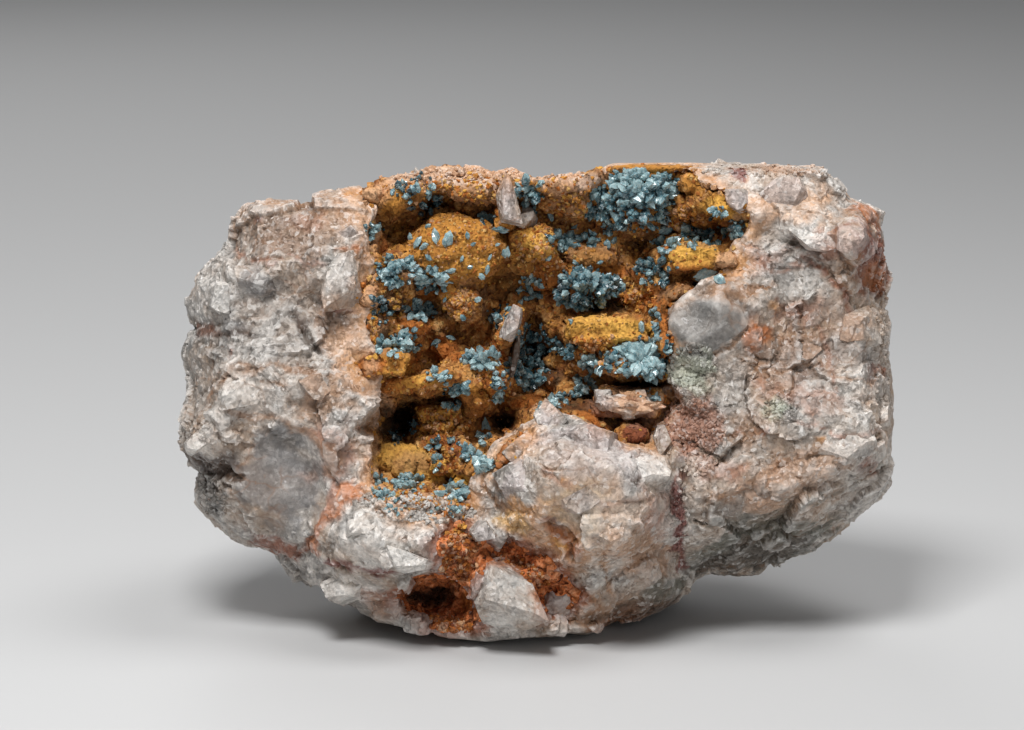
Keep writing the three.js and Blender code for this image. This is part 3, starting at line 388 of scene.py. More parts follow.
QUARTZ_STAINS = (
    Stain("wash over the left face", (-34.9, 40.8), (10.7, 15.2), 0, GREY, 0.22),
    Stain("wash over the far left", (-42.2, 37.0), (3.8, 11.4), 0, SMOKE, 0.25),
    Stain("wash over the right face", (33.4, 37.6), (9.7, 8.1), 0, TAN, 0.5),
    Stain("wash over the corner", (40.0, 49.7), (5.6, 6.9), 0, TAN, 0.6),
    Stain("wash over the lower right", (30.9, 20.4), (11.4, 6.3), 10, BEIGE, 0.35),
    Stain("wash over the boulder's front", (8.0, 14.1), (8.9, 6.3), 0, PEACH, 0.3),
    Stain("warm upper left", (-30.6, 54.0), (14.2, 6.1), -4, TAN, 0.5),
    Stain("warm face beside the pocket", (-24.4, 39.5), (3.3, 12.1), 4, BEIGE, 0.65),
    Stain("tan rim at the left of the pocket", (-21.5, 43.3), (1.5, 14.0), 0, TAN, 0.6),
    Stain("sugary left edge", (-41.8, 44.6), (3.3, 7.6), 0, WHITE, 0.2),
    Stain("pale middle left", (-36.4, 32.5), (6.6, 4.3), 0, WHITE, 0.4),
    Stain("grey chunk", (-24.4, 45.8), (2.5, 3.3), 0, GREY, 0.45),
    Stain("grey chunk at the left", (-34.9, 45.2), (2.8, 2.5), 0, GREY, 0.35),
    Stain("smooth lens", (-31.6, 20.7), (6.6, 7.1), 38, GREY, 0.85),
    Stain("pink patch", (-25.3, 24.3), (3.8, 5.6), -10, PINK, 0.6),
    Stain("pink patch above", (-26.9, 30.0), (3.8, 2.8), 0, BEIGE, 0.6),
    Stain("lip", (-42.2, 25.5), (3.3, 1.8), 30, WHITE, 0.6),
    # Painted shadow: umber under the lip.
    Stain("hollow under the lip", (-40.9, 22.0), (3.3, 1.5), 30, UMBER, 0.75),
    Stain("corner knob", (-40.9, 17.9), (2.3, 2.5), 0, SMOKE, 0.6),
    Stain("rust under the left edge", (-33.3, 11.8), (4.3, 1.3), -20, RUST, 0.7),
    Stain("crust along the top", (-7.2, 58.8), (17.8, 2.8), 0, PEACH, 0.8),
    Stain("ochre top edge", (13.7, 60.1), (6.6, 1.1), 0, OCHRE, 0.9),
    Stain("ochre top right of the pocket", (21.5, 55.4), (2.8, 3.3), 0, OCHRE, 0.8),
    Stain("tan top right", (32.1, 59.6), (7.6, 1.3), 0, BEIGE, 0.6),
    Stain("red spot at the top", (25.3, 58.8), (1.0, 1.0), 0, RED, 1.0),
    Stain("orange band on the right corner", (41.8, 54.4), (3.0, 1.3), -10, ORANGE, 0.8),
    Stain("rusty corner hollow", (41.5, 48.6), (3.0, 4.8), 0, RUST, 0.9),
    Stain("rust beside the slit", (36.2, 49.4), (3.3, 1.5), -20, PINK, 0.6),
    Stain("pale upper right", (32.1, 55.4), (5.8, 3.6), 0, PEACH, 0.5),
    Stain("pale bench", (23.9, 52.5), (2.5, 3.8), 0, BEIGE, 0.5),
    Stain("tan under the bench", (23.9, 44.6), (4.3, 1.8), -10, TAN, 0.6),
    Stain("orange beside the grey lens", (27.4, 39.2), (2.0, 2.8), -25, ORANGE, 0.65),
    Stain("grey lens", (22.2, 40.3), (6.9, 4.4), -8, SMOKE, 0.98),
    Stain("rust spots in the middle", (31.5, 41.8), (4.3, 2.0), 20, PINK, 0.7),
    Stain("white chips at the right", (38.5, 37.0), (5.1, 7.6), 0, WHITE, 0.25),
    Stain("pink band on the right", (33.4, 31.2), (7.6, 2.8), -15, PINK, 0.4),
    Stain("green crumbs", (30.2, 29.6), (2.3, 2.0), 0, GREEN, 0.8),
    Stain("red-brown spot", (25.1, 26.8), (1.1, 0.9), 0, RUST, 0.8),
    Stain("second red-brown spot", (28.1, 26.5), (1.0, 0.8), 0, RUST, 0.8),
    Stain("right edge spots", (42.3, 34.2), (1.3, 1.1), 0, RUST, 0.6),
    Stain("low right spots", (41.8, 22.0), (1.5, 1.4), 0, RUST, 0.55),
    Stain("small ochre spot at the right", (35.3, 24.8), (1.0, 0.9), 0, OCHRE, 0.7),
    Stain("pink slope at the right", (33.4, 21.7), (7.6, 3.3), 20, BEIGE, 0.45),
    # Painted shade over the stone's grey-green: the downward-facing underside is painted dark.
    Stain("painted shade on the grey-green underside", (29.6, 12.2), (11.2, 4.3), 14, MOSS, 0.85),
    Stain("grey under the ridge", (25.1, 17.3), (5.1, 2.5), 20, SMOKE, 0.4),
    Stain("red crack", (17.7, 15.6), (1.0, 6.3), 0, RED, 0.95),
    Stain("pink beside the crack", (15.0, 16.0), (2.8, 5.1), 10, PINK, 0.45),
    Stain("pale lower left block", (-19.7, 13.8), (8.4, 5.1), -12, WHITE, 0.95),
    Stain("grey on the block", (-24.4, 15.4), (2.3, 1.8), 0, GREY, 0.3),
    Stain("rust beside the cavity", (-9.7, 10.3), (2.5, 4.6), -6, ORANGE, 1.0),
    Stain("cavity floor", (-11.4, 1.9), (4.1, 1.3), 0, ORANGE, 0.85),
    Stain("cavity's left wall", (-16.1, 5.2), (2.3, 2.5), 0, TAN, 0.7),
    Stain("brown foot", (-19.3, 4.6), (3.8, 1.8), -30, PINK, 0.4),
    Stain("wedge", (-3.7, 6.2), (3.3, 4.3), 0, SMOKE, 0.45),
    Stain("rust crack", (-3.2, 10.3), (5.1, 1.5), -24, ORANGE, 0.9),
    Stain("rust crack foot", (0.8, 6.5), (1.1, 3.0), 0, RUST, 0.85),
    Stain("brown zone", (-0.1, 14.9), (5.3, 3.8), 0, PEACH, 0.9),
    Stain("ochre slit", (3.2, 14.1), (2.5, 2.2), 0, OCHRE, 0.9),
    Stain("tan foot of the boulder", (8.0, 3.9), (8.9, 3.3), 8, TAN, 0.6),
    Stain("orange foot of the boulder", (11.2, 2.4), (4.6, 1.5), 8, ORANGE, 0.5),
    Stain("white boulder", (7.2, 23.5), (8.9, 5.6), -12, LILAC, 0.45),
    Stain("pale boulder front", (6.7, 17.1), (6.6, 4.6), 0, CREAM, 0.4),
    Stain("warm boulder side", (13.1, 10.9), (4.3, 4.8), 0, BEIGE, 0.65),
    Stain("orange notch", (7.0, 27.1), (1.8, 1.3), 0, ORANGE, 0.7),
    Stain("ochre spot on the boulder", (2.9, 20.4), (0.9, 0.8), 0, OCHRE, 0.7),
    Stain("boulder pit", (11.8, 20.6), (1.0, 0.9), 0, UMBER, 0.85),
    Stain("pink ledge", (11.4, 30.5), (4.6, 1.9), 0, PINK, 0.25),
    Stain("dark pink hollow", (11.6, 26.3), (2.4, 1.7), 0, RED, 0.45),
    Stain("red crumbs", (19.9, 26.5), (4.1, 5.8), 0, PINK, 0.75),
    Stain("orange crumbs", (17.1, 30.6), (2.0, 2.5), 0, ORANGE, 0.45),
    Stain("grey-green crumbs", (19.4, 34.7), (3.4, 3.7), 0, GREEN, 0.95),
    Stain("pale ledge below the crumbs", (19.4, 21.7), (3.8, 2.3), 0, WHITE, 0.5),
    Stain("brown notch at the top left", (-24.6, 54.5), (1.1, 0.8), 20, UMBER, 0.6),
    Stain("pink-brown under the top left edge", (-28.6, 53.2), (3.6, 1.5), 0, PINK, 0.5),
    Stain("lilac facet", (-23.7, 51.4), (1.5, 1.3), 0, WHITE, 0.6),
    Stain("rust spot at the upper left", (-34.9, 53.3), (0.5, 0.4), 0, RED, 0.7),
    Stain("brown zone under the grey chunk", (-24.8, 40.5), (2.5, 1.4), 0, UMBER, 0.6),
    Stain("orange face beside the pocket", (-23.5, 36.3), (3.0, 3.8), 0, PEACH, 0.7),
    Stain("tan face above the pink patch", (-25.0, 30.6), (3.8, 2.8), 0, TAN, 0.5),
    Stain("brown in the middle groove", (-29.2, 39.8), (1.8, 1.5), 0, UMBER, 0.55),
    Stain("grey in the left groove", (-38.1, 40.0), (3.0, 1.3), 0, GREY, 0.6),
    Stain("rust streak", (-38.4, 36.7), (0.5, 1.1), 0, RUST, 0.5),
    Stain("brown spot on the left face", (-32.3, 32.6), (1.1, 0.5), 0, TAN, 0.7),
    Stain("tan on the pink patch", (-25.7, 23.6), (2.5, 3.8), -10, TAN, 0.55),
    Stain("orange at the seam's top", (-23.5, 19.2), (1.5, 1.1), 30, ORANGE, 0.7),
    Stain("beige under the rubble", (-18.0, 16.9), (3.3, 1.3), -6, PEACH, 0.75),
    Stain("tan left foot", (-19.3, 4.6), (4.3, 2.0), 24, TAN, 0.4),
    Stain("pale left foot", (-23.7, 7.7), (2.5, 1.8), 24, WHITE, 0.8),
    Stain("red-brown above the rust", (-13.6, 12.8), (1.8, 1.5), 0, PINK, 0.7),
    Stain("lavender on the boulder", (5.1, 17.9), (2.0, 1.8), 0, SMOKE, 0.5),
    Stain("yellow side of the boulder", (9.5, 16.9), (3.6, 4.1), 0, BEIGE, 0.55),
    Stain("beige right of the boulder", (13.1, 12.2), (3.0, 3.3), 0, TAN, 0.55),
    Stain("brown below the brown zone", (2.9, 10.3), (5.6, 2.0), -8, TAN, 0.6),
    Stain("orange beside the slit", (3.4, 13.7), (1.7, 1.7), 0, ORANGE, 0.7),
    Stain("ochre round the brown zone", (-2.2, 16.9), (2.8, 1.5), 0, OCHRE, 0.55),
    Stain("rust right of the wedge", (-0.1, 7.1), (0.9, 3.3), 0, ORANGE, 0.8),
    Stain("grey right of the wedge", (2.9, 5.2), (2.5, 2.5), 0, SMOKE, 0.6),
    # Painted shade: umber and olive darken the boulder's foot under its bulge, over its tan and orange
    # stains.
    Stain("painted shade at the boulder's foot", (12.1, 3.7), (7.6, 1.8), 10, UMBER, 0.7),
    Stain("olive foot", (15.6, 6.5), (4.3, 1.5), 20, MOSS, 0.7),
    Stain("pink bench", (27.7, 48.1), (4.3, 2.8), 0, PINK, 0.6),
    Stain("olive patch", (27.8, 52.1), (1.7, 1.5), 0, MOSS, 0.5),
    Stain("tan band over the grey lens", (27.3, 44.8), (4.3, 1.0), 10, TAN, 0.8),
    Stain("ochre stripes", (29.5, 42.5), (1.3, 1.3), 0, OCHRE, 0.7),
    Stain("orange on the grey lens", (27.6, 39.1), (1.8, 2.2), -30, ORANGE, 0.75),
    Stain("ochre spot on the right face", (31.1, 32.6), (1.5, 1.7), 0, TAN, 0.7),
    Stain("rust on the right face", (35.2, 34.7), (1.1, 0.5), 20, RUST, 0.7),
    Stain("brown crack at the right", (40.8, 37.0), (1.1, 0.6), 20, UMBER, 0.6),
    Stain("rust at the right edge", (43.7, 34.2), (0.6, 0.9), 0, RUST, 0.75),
    Stain("red side of the corner", (42.3, 48.1), (3.3, 5.1), -10, RUST, 1.0),
    Stain("orange edge of the corner", (41.8, 54.4), (3.0, 0.9), -8, ORANGE, 0.85),
    Stain("pink beside the corner", (36.7, 49.9), (3.6, 1.8), -20, PINK, 0.55),
    Stain("tan right of the crumbs", (26.0, 26.5), (3.3, 3.3), 0, TAN, 0.5),
    Stain("pink below the crumbs", (23.2, 21.7), (3.8, 2.3), 0, PINK, 0.5),
    Stain("tan low right", (32.1, 21.7), (5.1, 2.3), 16, BEIGE, 0.6),
    # Painted shade: umber darkens the downward-facing underside.
    Stain("painted shade on the underside", (28.3, 10.9), (8.9, 2.3), 14, UMBER, 0.55),
    Stain("ochre rim at the top right", (19.4, 58.5), (2.8, 1.8), -30, OCHRE, 0.9),
    Stain("tan bench top", (22.7, 52.5), (2.0, 1.8), 0, TAN, 0.6),
    Stain("bright ochre at the slit", (3.8, 13.3), (1.8, 1.5), -40, YELLOW, 1.0),
    Stain("dark line of the slit", (2.3, 15.5), (1.9, 0.4), -12, UMBER, 1.0),
    Stain("dark foot of the corner", (42.7, 45.3), (1.9, 3.0), 0, UMBER, 0.5),
    Stain("deep red of the corner", (42.0, 48.1), (1.9, 3.8), -8, RED, 0.75),
    Stain("brown over the corner", (39.2, 49.4), (2.3, 1.8), -20, RUST, 0.6),
    Stain("dark left of the grey lens", (18.2, 37.7), (1.8, 2.5), 10, MOSS, 0.6),
    Stain("grey over the right middle", (33.4, 40.8), (5.1, 3.3), 0, GREY, 0.3),
    Stain("green of the crumbs", (19.7, 34.7), (3.3, 3.3), 0, GREEN, 0.7),
    Stain("orange over the corner", (42.0, 46.6), (2.0, 3.0), 0, ORANGE, 0.85),
    Stain("grey over the right edge", (39.2, 37.0), (4.3, 5.1), 0, GREY, 0.3),
    Stain("grey of the big lens", (21.2, 40.0), (5.6, 3.8), -8, SMOKE, 0.6),
    Stain("peach at the boulder's peak", (1.9, 29.6), (1.5, 1.3), 0, PEACH, 0.7),
    Stain("peach line on the boulder", (8.0, 27.9), (5.1, 0.8), -14, PEACH, 0.6),
    Stain("shade over the upper left", (-30.5, 51.9), (7.1, 4.3), 0, SMOKE, 0.3),
    Stain("grey over the middle right", (34.2, 36.4), (7.1, 5.3), 0, GREY, 0.35),
    Stain("left end of the grey lens", (18.7, 40.0), (3.0, 4.6), 0, SMOKE, 0.8),
    Stain("pale front of the boulder", (8.0, 16.4), (6.6, 4.3), 0, WHITE, 0.35),
    Stain("warm line on the brown zone", (-1.7, 15.1), (3.3, 2.0), 0, ORANGE, 0.3),
    Stain("peach on the ledge", (11.3, 31.4), (2.0, 1.0), 0, PEACH, 0.8),
    Stain("cream in the brown zone", (-2.7, 15.4), (3.3, 1.5), 0, CREAM, 0.7),
    Stain("orange crust under the cavity", (-10.8, 2.4), (5.1, 1.1), -8, ORANGE, 0.8),
    Stain("orange line at the upper left", (-24.4, 49.9), (3.0, 0.5), 0, ORANGE, 0.7),
)

SEAMS = (
    Seam("under the grey chunk", ((-26.3, 42.2), (-24.0, 41.8), (-21.7, 41.3)), 0.2, 0.7, RED, 0.8),
    # The umber of the left and middle grooves is partly painted shade in their recesses and partly dark
    # specks in the stone.
    Seam("left groove", ((-43.3, 39.9), (-41.5, 39.4), (-39.2, 39.0), (-36.2, 38.9)), 0.41, 1.2, UMBER, 0.85),
    Seam("rust in the left groove", ((-42.8, 39.6), (-41.0, 39.4)), 0.38, 0.3, RUST, 0.4),
    Seam("middle groove", ((-30.4, 40.8), (-29.1, 39.0), (-27.3, 36.7)), 0.38, 1.2, UMBER, 0.5),
    Seam("upper left crack", ((-38.0, 49.7), (-34.9, 48.1), (-30.6, 48.6), (-26.3, 47.6)),
         0.18, 0.5, PINK, 0.5),
    Seam("left face crack", ((-42.2, 31.2), (-37.7, 34.2), (-33.3, 34.9), (-27.8, 33.9), (-23.7, 34.9)),
         0.19, 0.7, TAN, 0.6),
    Seam("crack above the lens", ((-38.7, 29.1), (-34.2, 28.8), (-30.1, 27.4), (-26.8, 24.0), (-25.5, 20.4)),
         0.2, 0.6, TAN, 0.5),
    Seam("lens edge", ((-25.5, 20.4), (-25.3, 17.9), (-27.3, 14.1), (-29.6, 12.1)), 0.33, 1.1, PINK, 0.7),
    Seam("orange seam", ((-21.5, 19.4), (-24.3, 17.1), (-27.3, 14.4), (-28.8, 11.8)), 0.38, 1.2, ORANGE, 0.9),
    Seam("seam's second arm", ((-28.6, 11.8), (-30.6, 10.8), (-32.6, 11.3)), 0.28, 0.8, RUST, 0.8),
    # The groove under the lip is cut into the stone; its umber is painted shadow under the lip.
    Seam("under the lip", ((-44.6, 24.0), (-42.5, 23.0), (-40.3, 21.7), (-37.7, 21.0)),
         0.51, 1.6, UMBER, 0.8),
    Seam("knob's crack", ((-42.8, 20.2), (-41.0, 19.4), (-38.7, 19.7)), 0.25, 0.8, UMBER, 0.6),
    Seam("red line under the block", ((-26.5, 10.3), (-23.7, 9.9), (-21.0, 9.0), (-17.7, 8.5)),
         0.25, 0.9, RED, 0.8),
    Seam("crack down the block", ((-17.7, 14.4), (-15.9, 12.2), (-15.6, 10.0)), 0.2, 0.6, TAN, 0.6),
    Seam("slit at the right", ((31.1, 50.5), (33.0, 49.9), (35.2, 49.3)), 0.3, 1.2, UMBER, 0.85),
    Seam("corner's rim", ((37.0, 51.9), (39.2, 52.7), (41.8, 53.0), (44.1, 52.5)), 0.25, 0.8, RUST, 0.7),
    Seam("crack into the corner", ((33.4, 48.1), (36.2, 47.1), (38.2, 44.8), (39.5, 42.0)),
         0.23, 0.8, RUST, 0.7),
    Seam("grey lens rim above", ((16.1, 40.5), (17.4, 42.9), (20.1, 44.1), (23.2, 43.8), (26.0, 42.0)),
         0.23, 0.7, TAN, 0.4),
    Seam("grey lens rim below", ((16.1, 38.5), (18.2, 37.0), (21.5, 36.4), (24.3, 37.2), (26.3, 39.5)),
         0.25, 0.9, TAN, 0.65),
    Seam("bench's crack", ((22.7, 50.9), (25.8, 48.1), (29.6, 46.9), (33.4, 46.9)), 0.2, 0.6, PINK, 0.6),
    Seam("right face crack", ((29.6, 43.3), (33.4, 40.8), (36.2, 37.0), (37.0, 32.1)), 0.19, 0.6, PINK, 0.6),
    Seam("second right crack", ((25.8, 35.7), (30.2, 34.2), (34.9, 34.9), (39.8, 33.1), (43.6, 33.7)),
         0.18, 0.6, TAN, 0.55),
    Seam("third right crack", ((28.3, 30.6), (32.1, 27.6), (38.0, 26.0), (43.6, 26.8)), 0.18, 0.6, PINK, 0.5),
    Seam("slanting crack", ((20.7, 17.9), (25.5, 19.4), (31.4, 22.7), (37.2, 24.5), (42.5, 25.5)),
         0.25, 0.9, TAN, 0.6),
    Seam("lower right edge", ((19.4, 15.4), (25.8, 15.4), (32.1, 17.3), (38.7, 19.4), (43.6, 22.7)),
         0.25, 0.8, MOSS, 0.5),
    Seam("upright red crack", ((17.9, 21.2), (17.3, 17.9), (17.7, 14.1), (18.2, 10.0)), 0.33, 1.4, RED, 0.9),
    Seam("boulder's left foot", ((-7.5, 22.0), (-5.7, 18.9), (-4.7, 16.4)), 0.25, 0.9, TAN, 0.7),
    Seam("boulder's crack", ((0.4, 21.7), (4.4, 18.9), (8.0, 17.9), (13.1, 18.2)), 0.19, 0.7, PINK, 0.5),
    Seam("boulder's second crack", ((8.0, 17.9), (8.8, 14.1), (8.0, 10.3), (9.5, 6.5)), 0.19, 0.6, TAN, 0.6),
    Seam("rust crack", ((-7.5, 12.4), (-5.2, 10.8), (-2.4, 9.8), (1.0, 8.4), (3.2, 9.0)),
         0.51, 2, ORANGE, 0.9),
    Seam("rust crack's foot", ((1.0, 8.4), (0.5, 6.2), (0.9, 4.4)), 0.33, 1.6, RUST, 0.9),
    Seam("ochre slit", ((1.4, 15.1), (2.9, 14.4), (4.7, 13.1), (4.3, 11.8)), 0.43, 1.8, ORANGE, 0.9),
    Seam("left of the wedge", ((-7.7, 10.5), (-7.2, 7.1), (-7.7, 3.7)), 0.3, 1.2, RUST, 0.85),
    Seam("crust crack at the top", ((-13.6, 59.1), (-8.5, 58.0), (-4.4, 58.5)), 0.23, 0.8, TAN, 0.6),
)

RELIEFS = (
    Relief("cave at the lower left", (-18.9, 27.7), (3.6, 2.8), 10, -6.5, 0.6),
    Relief("cave in the middle", (-4.2, 27.7), (1.9, 1.8), -10, -5.0, 0.5),
    Relief("slot under the shelf", (12.6, 32.6), (4.7, 0.8), 0, -6.0, 0.6),
    Relief("hollow under the radiating cluster", (8.5, 42.4), (3.8, 1.1), 2, -5.0, 0.5),
    Relief("hollow behind the dome", (-12.6, 55.6), (4.1, 1.3), 6, -3.0, 0.4),
    Relief("hollow beside the pillar", (-0.1, 36.2), (2.8, 4.1), 0, -2.0, 0.4),
    Relief("hollow under the bar", (-13.8, 30.5), (4.8, 1.0), 9, -4.5, 0.5),
    Relief("hollow under the blue bank", (13.3, 50.5), (3.0, 1.1), 0, -2.5, 0.4),
    Relief("hollow below the lump", (-0.3, 44.6), (2.0, 1.1), 0, -2.0, 0.4),
    Relief("hollow left of the nodule", (-13.8, 40.5), (1.5, 1.1), 0, -2.0, 0.4),
    Relief("gap below the nodule", (-7.2, 40.5), (2.8, 1.0), 20, -2.0, 0.4),
    Relief("hollow behind the ledge", (7.0, 30.9), (2.8, 1.1), -20, -4.0, 0.5),
    Relief("hollow over the knob", (11.6, 27.3), (2.2, 1.0), 0, -3.0, 0.5),
    Relief("hollow right of the pillar's foot", (1.0, 31.2), (2.8, 1.3), 0, -2.5, 0.4),
    Relief("hollow at the boxwork", (18.9, 52.7), (1.3, 1.5), 0, -2.0, 0.4),
    Relief("hollow left of the shelf", (14.9, 48.1), (1.5, 1.3), 0, -1.5, 0.4),
    Relief("gap right of the pillar", (-0.8, 38.9), (1.7, 4.0), 0, -5.0, 0.5),
)

